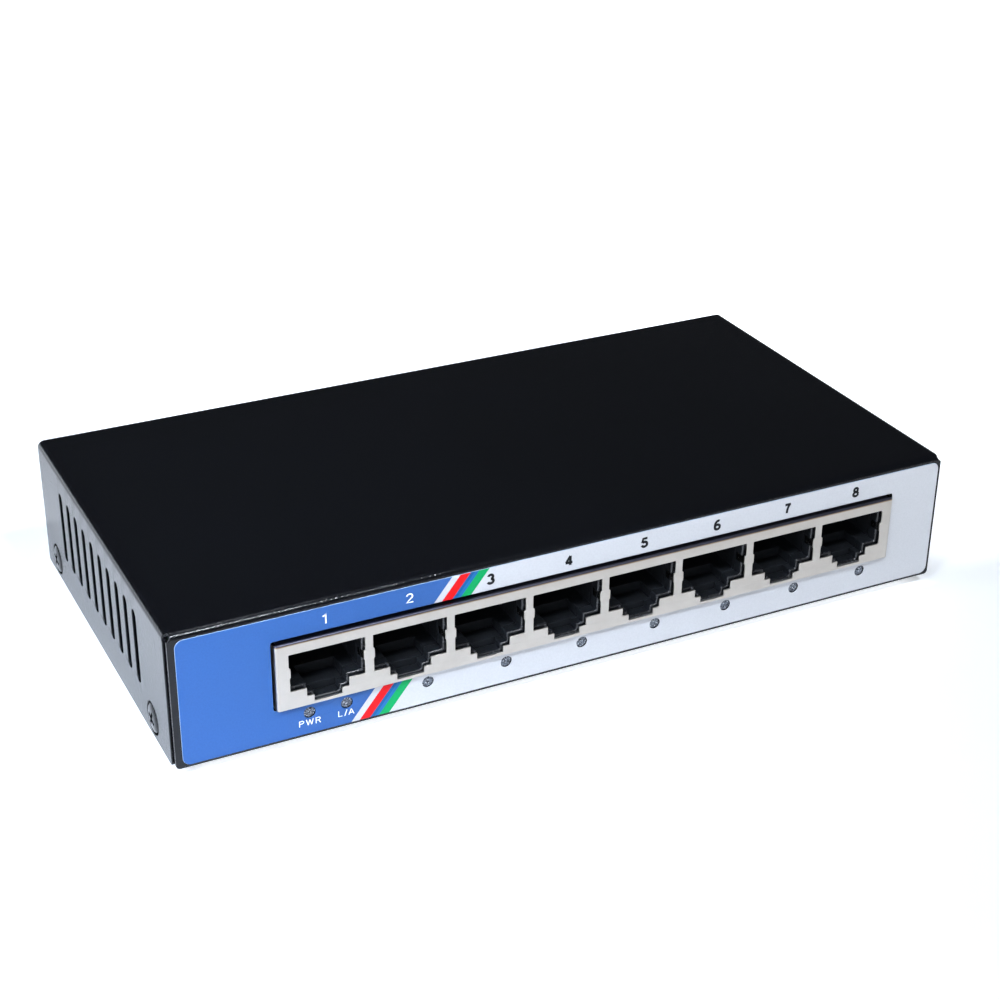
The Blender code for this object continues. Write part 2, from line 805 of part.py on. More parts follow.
def make_board(parts, guides):
    """Circuit board on four standoffs, each with its screw."""
    laminate = material("board_laminate", (0.02, 0.16, 0.07), 0.45)
    zinc = material("zinc_plated", ZINC, 0.35, 1.0)
    board = box(
        "circuit_board",
        (-BOARD_HALF, BOARD_FRONT, case_z(BOARD_BOTTOM)),
        (BOARD_HALF, BOARD_REAR, case_z(BOARD_TOP)),
        parts,
        laminate,
    )
    cutters = make_collection("board_cutters", guides)
    tray_floor = case_z(TRAY_BOTTOM + SHEET)
    for ending, side, row in corner_places():
        x, y = side * STANDOFF_X, STANDOFF_YS[row]
        centre = (x, y, case_z((BOARD_BOTTOM + BOARD_TOP) / 2))
        cylinder(f"board_hole_{ending}", 0.0016, 0.004, centre, cutters, sides=12)
        bottom, top = tray_floor + 0.0001, case_z(BOARD_BOTTOM) - 0.0001
        post = cylinder(
            f"standoff_{ending}",
            0.0026,
            top - bottom,
            (x, y, (bottom + top) / 2),
            parts,
            zinc,
            sides=6,
        )
        bore = make_collection(f"standoff_{ending}_bore", guides)
        cylinder(f"standoff_bore_{ending}", 0.0014, 0.01, (x, y, top), bore, sides=10)
        cut(post, bore)
        seat = case_z(BOARD_TOP) + 0.0001
        profile = [
            (0.0, seat + 0.0016),
            (0.0016, seat + 0.0015),
            (0.0025, seat + 0.0008),
            (0.0026, seat),
            (0.0011, seat),
            (0.0011, tray_floor + 0.0006),
            (0.0, tray_floor + 0.0006),
        ]
        turned(f"board_screw_{ending}", profile, (x, y, 0.0), parts, zinc, sides=12)
    cut(board, cutters)


def make_chip(parts, guides):
    """Switch chip with a finned heat sink."""
    epoxy = material("chip_epoxy", (0.018, 0.018, 0.020), 0.55)
    alu = material("heatsink_aluminium", (0.60, 0.61, 0.62), 0.40, 1.0)
    x, y, base = 0.010, 0.010, case_z(BOARD_TOP) + 0.0001
    chip = box("switch_chip", (x - 0.0075, y - 0.0075, base), (x + 0.0075, y + 0.0075, base + 0.0014), parts, epoxy)
    bevel(chip, 0.0003, 1)
    foot = base + 0.0015
    sink = box("heatsink", (x - 0.010, y - 0.010, foot), (x + 0.010, y + 0.010, foot + 0.008), parts, alu)
    cutters = make_collection("heatsink_cutters", guides)
    fins, pitch = 6, 0.0036
    for i in range(fins - 1):
        middle = x + (i - (fins - 2) / 2) * pitch
        box(
            f"fin_gap_{i}",
            (middle - 0.0011, y - 0.012, foot + 0.0018),
            (middle + 0.0011, y + 0.012, foot + 0.010),
            cutters,
        )
    cut(sink, cutters)


def make_board_parts(parts, guides):
    """The larger parts soldered on the board."""
    epoxy = material("chip_epoxy", (0.018, 0.018, 0.020), 0.55)
    can = material("crystal_can", ZINC, 0.30, 1.0)
    base = case_z(BOARD_TOP) + 0.0001
    for i in range(4):
        x = -0.0425 + i * 0.0186
        low = (x - 0.0064, -0.0128, base)
        block = box(f"transformer_{i + 1}", low, (x + 0.0064, -0.0060, base + 0.0052), parts, epoxy)
        bevel(block, 0.0004, 1)
    outline = [(0.034 + a, 0.006 + b) for b, a in obround(0.0, 0.0, 0.0042, 0.0105)]
    crystal = prism("crystal", outline, base, base + 0.0035, parts, can, axis="Z")
    bevel(crystal, 0.0003, 1, 60)
    for name, x, y, size in (
        ("flash_chip", 0.032, 0.0165, (0.0052, 0.0050, 0.0017)),
        ("regulator", -0.028, 0.0150, (0.0066, 0.0036, 0.0017)),
        ("inductor", -0.017, 0.0155, (0.0070, 0.0070, 0.0040)),
    ):
        half = Vector(size) / 2
        low = (x - half.x, y - half.y, base)
        block = box(name, low, (x + half.x, y + half.y, base + size[2]), parts, epoxy)
        bevel(block, 0.0004, 1)
    sleeve = material("capacitor_sleeve", (0.03, 0.035, 0.06), 0.35)
    for i, (x, y) in enumerate(((-0.032, 0.026), (-0.024, 0.026), (-0.016, 0.026))):
        profile = [
            (0.0, base + 0.0070),
            (0.0026, base + 0.0070),
            (0.00315, base + 0.0065),
            (0.00315, base + 0.0016),
            (0.0029, base + 0.0013),
            (0.00315, base + 0.0010),
            (0.00315, base),
            (0.0, base),
        ]
        turned(f"capacitor_{i + 1}", profile, (x, y, 0.0), parts, sleeve, sides=14)


def make_inlet(parts, guides):
    """Barrel power inlet that faces the rear."""
    plastic = material("inlet_plastic", BLACK_PLASTIC, 0.40)
    pin_metal = material("inlet_pin_metal", PLATED, 0.25, 1.0)
    base = case_z(BOARD_TOP) + GAP
    body = box(
        "dc_jack",
        (INLET_X - INLET_WIDTH / 2, BACK - INLET_LENGTH, base),
        (INLET_X + INLET_WIDTH / 2, BACK, base + INLET_HEIGHT),
        parts,
        plastic,
    )
    cutters = make_collection("inlet_cutters", guides)
    reach = INLET_BORE_DEPTH + 0.001
    centre = (INLET_X, BACK + 0.001 - reach / 2, case_z(INLET_AXIS_Z))
    cylinder("inlet_bore", INLET_BORE_RADIUS, reach, centre, cutters, axis="Y", sides=24)
    cut(body, cutters)
    length = INLET_BORE_DEPTH - 0.0012
    centre = (INLET_X, BACK - 0.001 - length / 2, case_z(INLET_AXIS_Z))
    pin = cylinder(
        "dc_jack_pin", INLET_PIN_RADIUS, length, centre, parts, pin_metal, axis="Y", sides=12
    )
    smooth(pin)


def make_rating_label(parts):
    """Blank sticker under the base."""
    paper = material("blank_label", (0.75, 0.76, 0.77), 0.50)
    outline = rounded_rectangle(-0.024, -0.026, 0.024, -0.004, 0.0010, 3)
    top = case_z(TRAY_BOTTOM) - LABEL_GAP
    prism("rating_label", outline, top - LABEL_THICKNESS, top, parts, paper, axis="Z")


def main():
    """Build the whole switch."""
    clear_scene()
    parts = make_collection("network_switch")
    guides = make_collection("guides")
    make_cover(parts, guides)
    make_tray(parts, guides)
    make_label(parts, guides)
    make_shield(parts, guides)
    make_housing(parts, guides)
    make_contacts(parts, guides)
    make_leds(parts, guides)
    make_side_screws(parts, guides)
    make_feet(parts)
    make_board(parts, guides)
    make_chip(parts, guides)
    make_board_parts(parts, guides)
    make_inlet(parts, guides)
    make_rating_label(parts)
    hide_cutters(guides)


main()
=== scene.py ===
"""Eight-port desktop network switch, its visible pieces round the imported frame.

Metres, +Z up. X runs along the front from left to right and the front faces -Y.
Heights on the case are measured from the cover's lower edge.
"""

import math

import bmesh
import bpy
from mathutils import Matrix, Vector


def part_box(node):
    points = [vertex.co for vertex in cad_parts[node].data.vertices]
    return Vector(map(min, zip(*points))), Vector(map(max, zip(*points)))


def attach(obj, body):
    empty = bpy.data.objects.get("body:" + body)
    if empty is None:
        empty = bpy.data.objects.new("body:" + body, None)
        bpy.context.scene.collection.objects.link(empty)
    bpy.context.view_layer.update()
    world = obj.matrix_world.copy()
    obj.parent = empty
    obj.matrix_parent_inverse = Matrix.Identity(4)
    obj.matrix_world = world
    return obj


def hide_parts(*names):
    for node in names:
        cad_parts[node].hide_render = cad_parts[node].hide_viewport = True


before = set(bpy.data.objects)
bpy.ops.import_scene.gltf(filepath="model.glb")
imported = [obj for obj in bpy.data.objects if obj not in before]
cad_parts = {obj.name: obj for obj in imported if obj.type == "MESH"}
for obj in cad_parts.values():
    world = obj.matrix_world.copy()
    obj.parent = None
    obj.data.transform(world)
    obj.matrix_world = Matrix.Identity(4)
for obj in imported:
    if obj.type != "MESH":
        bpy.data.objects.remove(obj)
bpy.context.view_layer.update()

COVER_LOW, COVER_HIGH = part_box("cover")
TRAY_LOW, TRAY_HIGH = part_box("base_tray")
SHIELD_LOW, SHIELD_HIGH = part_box("jack_shield")
HOUSING_LOW, HOUSING_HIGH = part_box("jack_housing")
LABEL_LOW, LABEL_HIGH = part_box("front_label")

CASE_Z = COVER_LOW.z
HALF_WIDTH = COVER_HIGH.x
HEIGHT = COVER_HIGH.z - COVER_LOW.z
FRONT = COVER_LOW.y
BACK = COVER_HIGH.y

# Folded sheets
SHEET = 0.0008
BEND_RADIUS = 0.0012
RIM = 0.00012
SEAM_INSET = 0.0003
LID_CLEARANCE = 0.00004
RELIEF_RADIUS = 0.00072
FLANGE_CORNER = 0.0007
TRAY_LIP_TOP = 0.0026
TRAY_LIP_INSET = 0.0016
TRAY_SIDE_TOP = 0.0072
TRAY_REAR_INSET = 0.00015
TRAY_NOTCH = 0.0005

# Vent slots
SLOT_COUNT = 10
SLOT_PITCH = 0.00476
SLOT_WIDTH = 0.0020
SLOT_LENGTH = 0.0131
SLOT_MIDDLE_Z = 0.01315
SLOT_REAR_Y = BACK - 0.0138

# Side screws
SCREW_Z = 0.0035
SCREW_YS = {"f": FRONT + 0.0101, "r": BACK - 0.0069}
SCREW_RADIUS = 0.0024
SCREW_GAP = 0.0004

# Feet
FOOT_EDGE = 0.0006
FOOT_TAPER = 0.0003
FOOT_HOLLOW = 0.0020

# Sockets
PORTS = 8
PORT_PITCH = 0.01397
PORT_FIRST_X = -0.04595
PORT_HALF = 0.00632
PORT_TOP = 0.01615
PORT_FLOOR = 0.00955
NUB_TOP = 0.01380
NUB_BOTTOM = 0.01195
NUB_HALF = 0.00605
LATCH_UPPER_HALF = 0.00352
LATCH_UPPER_Z = 0.00806
LATCH_LOWER_HALF = 0.00233
LATCH_LOWER_Z = 0.00693
SHIELD_SHEET = 0.0003
SHIELD_BEND = 0.00045
SOCKET_DEPTH = 0.0135
SOCKET_STEP_IN = 0.0004
LATCH_LOWER_DEPTH = 0.0029
LATCH_UPPER_DEPTH = 0.0062
HOUSING_SUNK = 0.0003
HOUSING_CORNER = 0.0003
SOCKET_RIM = 0.00028

# Contact wires, the comb between them and the grounding fingers
WIRE_PITCH = 0.00102
WIRE_HALF_WIDTH = 0.00018
WIRE_HALF_THICKNESS = 0.00012
COMB_HALF_WIDTH = 0.00026
COMB_DEPTH = 0.0024
COMB_BOTTOM = 0.0137
FINGER_LENGTH = 0.0042
FINGER_SWELL = 0.00022
FINGER_HALF_THICKNESS = 0.00012

# Window in the front flange
WINDOW_GAP = 0.00038
WINDOW_TOP = 0.01866
WINDOW_BOTTOM = 0.00618
WINDOW_CORNER = 0.0004

# Indicators
LED_Z = 0.00442
LED_HOLE_RADIUS = 0.00101
LED_RADIUS = 0.00096
LED_SUNK = 0.00006
LED_CROWN = 0.0001
LED_DEPTH = 0.0013
LED_BODY_GAP = 0.0005
LED_OFFSET = 0.0033
LED_POWER_X = -0.0489

# Front film
LABEL_CORNER = 0.0013
LABEL_RIGHT = LABEL_HIGH.x - 0.0004
LABEL_BOTTOM = LABEL_LOW.z + 0.00014
BACKING_SHOW = 0.00004
BACKING_SHEET = 0.00008
STRIPE_SLOPE = 0.799
STRIPE_TOP_Z = 0.02265
STRIPE_XS = (-0.0244, -0.0230, -0.0212, -0.02045, -0.0197, -0.0179)
NUMERAL_Z = 0.02065
NUMERAL_HEIGHT = 0.0018
NUMERAL_FIRST_X = -0.04575
NUMERAL_PITCH = 0.01404
LEGEND_HEIGHT = 0.0011
LEGEND_Z = 0.00266
LEGEND_POWER_X = -0.04895
LEGEND_LINK_X = -0.0429
STROKE = 0.19
LIGHT_STROKE = 0.13
BOLD_STROKE = 0.26
WIDE = 1.15
INK = 0.000012

# Rear panel
INLET_X = -0.045
INLET_WIDTH = 0.009
INLET_HEIGHT = 0.011
INLET_BASE = 0.0064
INLET_GAP = 0.0003
INLET_BORE = 0.0032
INLET_BORE_DEPTH = 0.0098
INLET_AXIS_Z = 0.0128
LOCK_X = 0.052
LOCK_HALF_WIDTH = 0.0035
LOCK_BOTTOM = 0.0105
LOCK_TOP = 0.0135
LOCK_CORNER = 0.0012

# Keyholes in the base
KEYHOLE_X = 0.040
KEYHOLE_HEAD = 0.0035
KEYHOLE_NECK = 0.0018
KEYHOLE_REACH = 0.0085

# Studio
PALE_LIGHT = (0.86, 0.92, 1.0)
BLUE_LIGHT = (0.74, 0.84, 1.0)
GLOW = (0.92, 0.96, 1.0, 1.0)
GLOW_START, GLOW_END = 0.12, 0.24
NEAR_GLOW, FAR_GLOW = 0.2, 1.1
# Painted light: the floor's glow under, beside and behind the case fills its shadow.
UNDER_GLOW, SIDE_GLOW, REAR_GLOW = 0.7, 0.5, 0.4
BACKDROP = (1.0, 1.0, 1.0, 1)
CEILING = (0.035, 0.037, 0.042, 1)
HORIZON_TOP, CEILING_START = 0.06, 0.2
CAMERA_LENS = 69.58
CAMERA_SENSOR = 36.0
CAMERA_PLACE = (-0.13557, -0.27387, 0.17490)
CAMERA_TURN = (62.460, -0.572, -26.371)


def case_z(height):
    """Height above the table of a height on the case."""
    return CASE_Z + height


def port_x(index):
    """Middle of a socket, counted from 0 at the left."""
    return PORT_FIRST_X + index * PORT_PITCH


def led_places():
    """CAD node and X of every indicator."""
    places = [("led_power", LED_POWER_X)]
    for i in range(PORTS):
        places.append((f"led_port_{i + 1}", port_x(i) + LED_OFFSET))
    return places


# --- Colours and materials ---


def srgb(red, green, blue):
    """Linear colour from 0-255 screen values."""
    channels = []
    for value in (red, green, blue):
        value /= 255
        if value <= 0.04045:
            channels.append(value / 12.92)
        else:
            channels.append(((value + 0.055) / 1.055) ** 2.4)
    return (*channels, 1.0)


class Nodes:
    """A material's node tree with short calls for what is used here."""

    def __init__(self, name):
        self.mat = bpy.data.materials.new(name)
        self.mat.use_nodes = True
        self.tree = self.mat.node_tree
        self.shader = self.tree.nodes["Principled BSDF"]
        self.coords = self.add("TexCoord").outputs["Object"]

    def set(self, **values):
        """Set shader inputs; underscores stand for spaces."""
        for key, value in values.items():
            self.link(value, self.shader.inputs[key.replace("_", " ")])

    def link(self, value, socket):
        """Join a socket or a constant to an input."""
        if isinstance(value, bpy.types.NodeSocket):
            self.tree.links.new(value, socket)
        else:
            socket.default_value = value

    def add(self, kind):
        """Add a node of a kind."""
        return self.tree.nodes.new("ShaderNode" + kind)

    def stretch(self, scale):
        """Object coordinates scaled along each axis."""
        node = self.add("Mapping")
        self.link(self.coords, node.inputs["Vector"])
        node.inputs["Scale"].default_value = scale
        return node.outputs["Vector"]

    def noise(self, scale, detail=3.0, rough=0.55, vector=None):
        """Noise from 0 to 1, scale in features per metre."""
        node = self.add("TexNoise")
        self.link(vector or self.coords, node.inputs["Vector"])
        node.inputs["Scale"].default_value = scale
        node.inputs["Detail"].default_value = detail
        node.inputs["Roughness"].default_value = rough
        return node.outputs["Fac"]

    def cells(self, scale):
        """Distance to the nearest cell centre, scale in cells per metre."""
        node = self.add("TexVoronoi")
        self.link(self.coords, node.inputs["Vector"])
        node.inputs["Scale"].default_value = scale
        return node.outputs["Distance"]

    def span(self, value, low, high, out_low, out_high):
        """Map a range of a value onto another range."""
        node = self.add("MapRange")
        self.link(value, node.inputs["Value"])
        limits = {"From Min": low, "From Max": high, "To Min": out_low, "To Max": out_high}
        for name, number in limits.items():
            node.inputs[name].default_value = number
        return node.outputs["Result"]

    def blend(self, factor, first, second):
        """Mix two colours."""
        node = self.add("Mix")
        node.data_type = "RGBA"
        self.link(factor, node.inputs["Factor"])
        self.link(first, node.inputs[6])
        self.link(second, node.inputs[7])
        return node.outputs[2]

    def math(self, operation, first, second=0.0):
        """Arithmetic on two values."""
        node = self.add("Math")
        node.operation = operation
        self.link(first, node.inputs[0])
        self.link(second, node.inputs[1])
        return node.outputs[0]

    def axis(self, name):
        """One coordinate of the object."""
        node = self.add("SeparateXYZ")
        self.link(self.coords, node.inputs[0])
        return node.outputs[name]

    def bump(self, height, distance, strength=1.0):
        """Surface relief from a height value."""
        node = self.add("Bump")
        node.inputs["Strength"].default_value = strength
        node.inputs["Distance"].default_value = distance
        self.link(height, node.inputs["Height"])
        self.link(node.outputs["Normal"], self.shader.inputs["Normal"])


def powder_coat():
    """Black satin powder coat with a fine orange-peel."""
    m = Nodes("powder_coat")
    peel = m.noise(2600, 2.0, 0.5)
    drift = m.noise(60, 3.0, 0.6)
    m.set(
        Base_Color=m.blend(drift, srgb(9, 10, 12), srgb(13, 14, 18)),
        Roughness=m.span(peel, 0.3, 0.7, 0.1, 0.17),
        Specular_IOR_Level=0.3,
    )
    m.bump(m.math("ADD", peel, m.math("MULTIPLY", m.cells(4200), 0.35)), 0.00004, 0.8)
    return m.mat


def film(name, colour, roughness=0.33):
    """Printed and laminated film: faint ink mottle and a fine matt grain."""
    m = Nodes(name)
    mottle = m.span(m.noise(3200, 3.0, 0.65), 0.35, 0.65, 0, 1)
    darker = tuple(c * 0.93 for c in colour[:3]) + (1.0,)
    m.set(
        Base_Color=m.blend(mottle, colour, darker),
        Roughness=m.span(m.noise(5000, 2.0), 0.3, 0.7, roughness - 0.04, roughness + 0.05),
        Specular_IOR_Level=0.16,
    )
    m.bump(m.noise(7000, 2.0), 0.00001, 0.25)
    return m.mat


def plated_steel():
    """Tin-plated sheet: bright, slightly wavy, with rolling lines and handling marks; a painted
    tan reflection along its top fold and a painted navy reflection above it.
    """
    m = Nodes("plated_steel")
    rolled = m.noise(900, 3.0, 0.7, m.stretch((0.04, 1.0, 1.0)))
    marks = m.noise(160, 5.0, 0.7)
    plating = m.blend(m.span(marks, 0.4, 0.75, 0, 1), srgb(194, 188, 180), srgb(184, 178, 170))
    # Painted reflection at the top fold: a thin tan line where the fold starts.
    fold_start = SHIELD_HIGH.z - SHIELD_BEND
    height = m.axis("Z")
    painted_tan_reflection = m.span(height, fold_start - 0.00003, fold_start + 0.00004, 0, 0.85)
    # Painted reflection of the blue film: a navy tint over the rest of the fold and the
    # folded-back top.
    dull = m.span(height, fold_start + 0.00012, fold_start + 0.0002, 0, 0.9)
    folded = m.blend(painted_tan_reflection, plating, srgb(150, 122, 92))
    m.set(
        Base_Color=m.blend(dull, folded, srgb(62, 68, 86)),
        Metallic=1.0,
        Roughness=m.math(
            "ADD", m.span(marks, 0.3, 0.7, 0.3, 0.38), m.span(rolled, 0.3, 0.7, -0.02, 0.03)
        ),
    )
    m.bump(m.math("ADD", rolled, m.noise(220, 1.0)), 0.00001, 0.12)
    return m.mat


def plastic(name, colour, roughness, grain=3500, gloss=0.45):
    """Moulded plastic with a fine spark-eroded grain."""
    m = Nodes(name)
    tone = m.noise(300, 3.0)
    lighter = tuple(min(1.0, c * 1.35 + 0.002) for c in colour[:3]) + (1.0,)
    m.set(
        Base_Color=m.blend(tone, colour, lighter),
        Roughness=m.span(m.noise(grain, 2.0), 0.3, 0.7, roughness - 0.06, roughness + 0.08),
        Specular_IOR_Level=gloss,
    )
    m.bump(m.noise(grain, 3.0), 0.00002, 0.3)
    return m.mat


def glossy_plastic(name, colour, roughness):
    """Polished moulded plastic with the faint waves of its mould."""
    m = Nodes(name)
    waves = m.noise(420, 3.0)
    lighter = tuple(min(1.0, c * 1.3 + 0.002) for c in colour[:3]) + (1.0,)
    m.set(
        Base_Color=m.blend(waves, colour, lighter),
        Roughness=m.span(waves, 0.3, 0.7, roughness - 0.05, roughness + 0.06),
        Specular_IOR_Level=0.7,
    )
    m.bump(waves, 0.00002, 0.2)
    return m.mat


def metal(name, colour, roughness, scratch=(1.0, 1.0, 1.0)):
    """Plated or bare metal with drawn lines along the short scale axis."""
    m = Nodes(name)
    lines = m.noise(1500, 4.0, 0.7, m.stretch(scratch))
    dull = tuple(c * 0.8 for c in colour[:3]) + (1.0,)
    m.set(
        Base_Color=m.blend(m.span(lines, 0.3, 0.7, 0, 1), colour, dull),
        Metallic=1.0,
        Roughness=m.span(lines, 0.3, 0.7, roughness - 0.06, roughness + 0.1),
    )
    m.bump(lines, 0.00001, 0.3)
    return m.mat


def led_lens():
    """Water-clear lens over a dark die: grey with small bright and dark flecks."""
    m = Nodes("led_lens")
    flecks = m.cells(3000)
    cloud = m.noise(3400, 3.0, 0.7)
    base = m.blend(m.span(cloud, 0.42, 0.58, 0, 1), srgb(24, 28, 38), srgb(112, 118, 128))
    m.set(
        Base_Color=m.blend(m.span(flecks, 0.16, 0.34, 0, 1), srgb(196, 200, 206), base),
        Roughness=m.span(cloud, 0.3, 0.7, 0.3, 0.5),
        Specular_IOR_Level=0.3,
    )
    m.bump(cloud, 0.00006, 0.8)
    return m.mat


def rubber():
    """Matt black rubber."""
    m = Nodes("foot_rubber")
    m.set(
        Base_Color=m.blend(m.noise(500), srgb(24, 24, 25), srgb(38, 38, 39)),
        Roughness=m.span(m.noise(2500), 0.3, 0.7, 0.72, 0.9),
        Sheen_Weight=0.15,
    )
    m.bump(m.noise(3000, 3.0), 0.00003, 0.4)
    return m.mat


def laminate():
    """Green solder resist with raised tracks, its greens darkened as painted shade for the dim
    inside of the case.
    """
    m = Nodes("board_laminate")
    node = m.add("TexBrick")
    m.link(m.stretch((260, 520, 1)), node.inputs["Vector"])
    # Greens darker than the board's own: painted shade for the dim inside of the case.
    node.inputs["Color1"].default_value = srgb(4, 24, 16)
    node.inputs["Color2"].default_value = srgb(5, 29, 19)
    node.inputs["Mortar"].default_value = srgb(8, 44, 28)
    node.inputs["Mortar Size"].default_value = 0.06
    m.set(
        Base_Color=node.outputs["Color"],
        Roughness=m.span(m.noise(800), 0.3, 0.7, 0.28, 0.42),
        Coat_Weight=0.3,
    )
    m.bump(node.outputs["Fac"], 0.00003, 0.4)
    return m.mat


def paint_floor():
    """Pale floor lit by its own glow: painted light under, beside and behind the case that fills
    its shadow, and a glow that rises further out.
    """
    m = Nodes("studio_floor")
    distance = m.add("VectorMath")
    distance.operation = "LENGTH"
    m.link(m.coords, distance.inputs[0])
    outer = m.span(distance.outputs["Value"], GLOW_START, GLOW_END, NEAR_GLOW, FAR_GLOW)
    across = m.math("ABSOLUTE", m.math("DIVIDE", m.axis("X"), HALF_WIDTH))
    along = m.math("ABSOLUTE", m.math("DIVIDE", m.axis("Y"), BACK))
    # Painted light under the case's footprint, where its shadow would fall.
    painted_light_under_case = m.span(m.math("MAXIMUM", across, along), 0.92, 1.02, UNDER_GLOW, 0.0)
    # Painted light right of the case and behind it, lifting the case's shade on the floor.
    beside = m.math(
        "MULTIPLY",
        m.span(m.axis("X"), HALF_WIDTH, HALF_WIDTH + 0.01, 0.0, SIDE_GLOW),
        m.span(m.axis("Y"), FRONT, FRONT + 0.01, 0.0, 1.0),
    )
    behind = m.math(
        "MULTIPLY",
        m.span(m.axis("Y"), BACK, BACK + 0.02, 0.0, REAR_GLOW),
        m.span(m.axis("X"), -HALF_WIDTH, 0.03 - HALF_WIDTH, 0.0, 1.0),
    )
    painted_light_beside_and_behind = m.math("ADD", beside, behind)
    m.set(
        Base_Color=m.blend(m.noise(3), (0.86, 0.86, 0.87, 1.0), (0.88, 0.88, 0.885, 1.0)),
        Roughness=0.7,
        Specular_IOR_Level=0.2,
        Emission_Color=GLOW,
        Emission_Strength=m.math("ADD", outer, m.math("ADD", painted_light_under_case, painted_light_beside_and_behind)),
    )
    return m.mat


# --- Mesh building ---


def arc(centre_a, centre_b, radius, start, end, steps):
    """Points of an arc in a plane, angles in degrees."""
    points = []
    for i in range(steps + 1):
        angle = math.radians(start + (end - start) * i / steps)
        points.append(
            (centre_a + radius * math.cos(angle), centre_b + radius * math.sin(angle))
        )
    return points


def circle(centre_a, centre_b, radius, steps=32):
    """Outline of a round hole."""
    return arc(centre_a, centre_b, radius, 0, 360, steps)[:-1]


def rounded_rectangle(left, bottom, right, top, radius, steps=6):
    """Outline of a rectangle with round corners."""
    inner = (left + radius, bottom + radius, right - radius, top - radius)
    return (
        arc(inner[2], inner[3], radius, 0, 90, steps)
        + arc(inner[0], inner[3], radius, 90, 180, steps)
        + arc(inner[0], inner[1], radius, 180, 270, steps)
        + arc(inner[2], inner[1], radius, 270, 360, steps)
    )


def softened(outline, radius, steps=3):
    """Round every corner of an outline, convex or not."""
    result = []
    count = len(outline)
    for i in range(count):
        before = Vector(outline[i - 1])
        here = Vector(outline[i])
        after = Vector(outline[(i + 1) % count])
        reach = min(radius, (before - here).length * 0.45, (after - here).length * 0.45)
        start = here + (before - here).normalized() * reach
        end = here + (after - here).normalized() * reach
        for k in range(steps + 1):
            t = k / steps
            point = start.lerp(here, t).lerp(here.lerp(end, t), t)
            result.append((point.x, point.y))
    return result


def plate(name, loops, depth, rim):
    """A flat plate in XY with holes, its outer face at z = 0 and its body below.

    The first loop is the outside. rim is the radius of every edge.
    """
    curve = bpy.data.curves.new(name, "CURVE")
    curve.dimensions = "2D"
    curve.fill_mode = "BOTH"
    curve.extrude = (depth / 2 - rim) * 1000
    curve.bevel_depth = rim * 1000
    curve.bevel_resolution = 1
    curve.offset = -rim * 1000
    for loop in loops:
        spline = curve.splines.new("POLY")
        spline.points.add(len(loop) - 1)
        for point, (a, b) in zip(spline.points, loop):
            point.co = (a * 1000, b * 1000, 0.0, 1.0)
        spline.use_cyclic_u = True
    guide = bpy.data.objects.new(name + "_outline", curve)
    bpy.context.scene.collection.objects.link(guide)
    depsgraph = bpy.context.evaluated_depsgraph_get()
    mesh = bpy.data.meshes.new_from_object(guide.evaluated_get(depsgraph))
    bpy.data.objects.remove(guide, do_unlink=True)
    bpy.data.curves.remove(curve)
    bm = bmesh.new()
    bm.from_mesh(mesh)
    bpy.data.meshes.remove(mesh)
    bmesh.ops.remove_doubles(bm, verts=bm.verts, dist=0.0005)
    bmesh.ops.scale(bm, vec=(0.001, 0.001, 0.001), verts=bm.verts)
    bmesh.ops.translate(bm, vec=(0, 0, -depth / 2), verts=bm.verts)
    bmesh.ops.recalc_face_normals(bm, faces=bm.faces)
    return bm


def join(bm, other):
    """Add a second mesh to a first one."""
    mesh = bpy.data.meshes.new("joined")
    other.to_mesh(mesh)
    other.free()
    bm.from_mesh(mesh)
    bpy.data.meshes.remove(mesh)


def bend_length(radius, sheet):
    """Length of flat stock that a right-angle bend takes."""
    return math.pi / 2 * (radius - sheet / 2)


def flange_reach(radius, sheet, height):
    """Distance past a bend's start, in the flat, of a point at a height below the face."""
    return bend_length(radius, sheet) + height - radius


def fold(bm, folds, radius, sheet, steps=6):
    """Fold a plate's margins down by a right angle.

    Each fold is (axis index, sign, distance of the bend's start from the origin);
    the first fold that holds a point bends it.
    """
    length = bend_length(radius, sheet)
    for axis, sign, start in folds:
        normal = Vector((0, 0, 0))
        normal[axis] = 1.0
        for k in range(steps + 1):
            geom = bm.verts[:] + bm.edges[:] + bm.faces[:]
            place = normal * sign * (start + length * k / steps)
            bmesh.ops.bisect_plane(bm, geom=geom, dist=2e-6, plane_co=place, plane_no=normal)
    for vert in bm.verts:
        for axis, sign, start in folds:
            past = sign * vert.co[axis] - start
            if past <= 1e-7:
                continue
            inward = radius + vert.co.z
            if past < length:
                angle = past / length * math.pi / 2
                vert.co[axis] = sign * (start + inward * math.sin(angle))
                vert.co.z = -radius + inward * math.cos(angle)
            else:
                vert.co[axis] = sign * (start + inward)
                vert.co.z = -radius - (past - length)
            break


def turn_to_front(bm, y):
    """Stand a plate up so that its outer face looks to -Y at a given Y."""
    matrix = Matrix(((1, 0, 0, 0), (0, 0, -1, y), (0, 1, 0, 0), (0, 0, 0, 1)))
    bmesh.ops.transform(bm, matrix=matrix, verts=bm.verts)


def add_piece(name, bm, mats, nodes=(), angle=50, weighted=True):
    """Finish a mesh as a piece that rides on the case and stands for CAD nodes."""
    bmesh.ops.recalc_face_normals(bm, faces=bm.faces)
    mesh = bpy.data.meshes.new(name)
    bm.to_mesh(mesh)
    bm.free()
    mesh.shade_smooth()
    mesh.set_sharp_from_angle(angle=math.radians(angle))
    for mat in mats if isinstance(mats, (list, tuple)) else [mats]:
        mesh.materials.append(mat)
    obj = bpy.data.objects.new(name, mesh)
    bpy.context.scene.collection.objects.link(obj)
    if weighted:
        mod = obj.modifiers.new("weighted", "WEIGHTED_NORMAL")
        mod.keep_sharp = True
    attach(obj, "root")
    if nodes:
        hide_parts(*nodes)


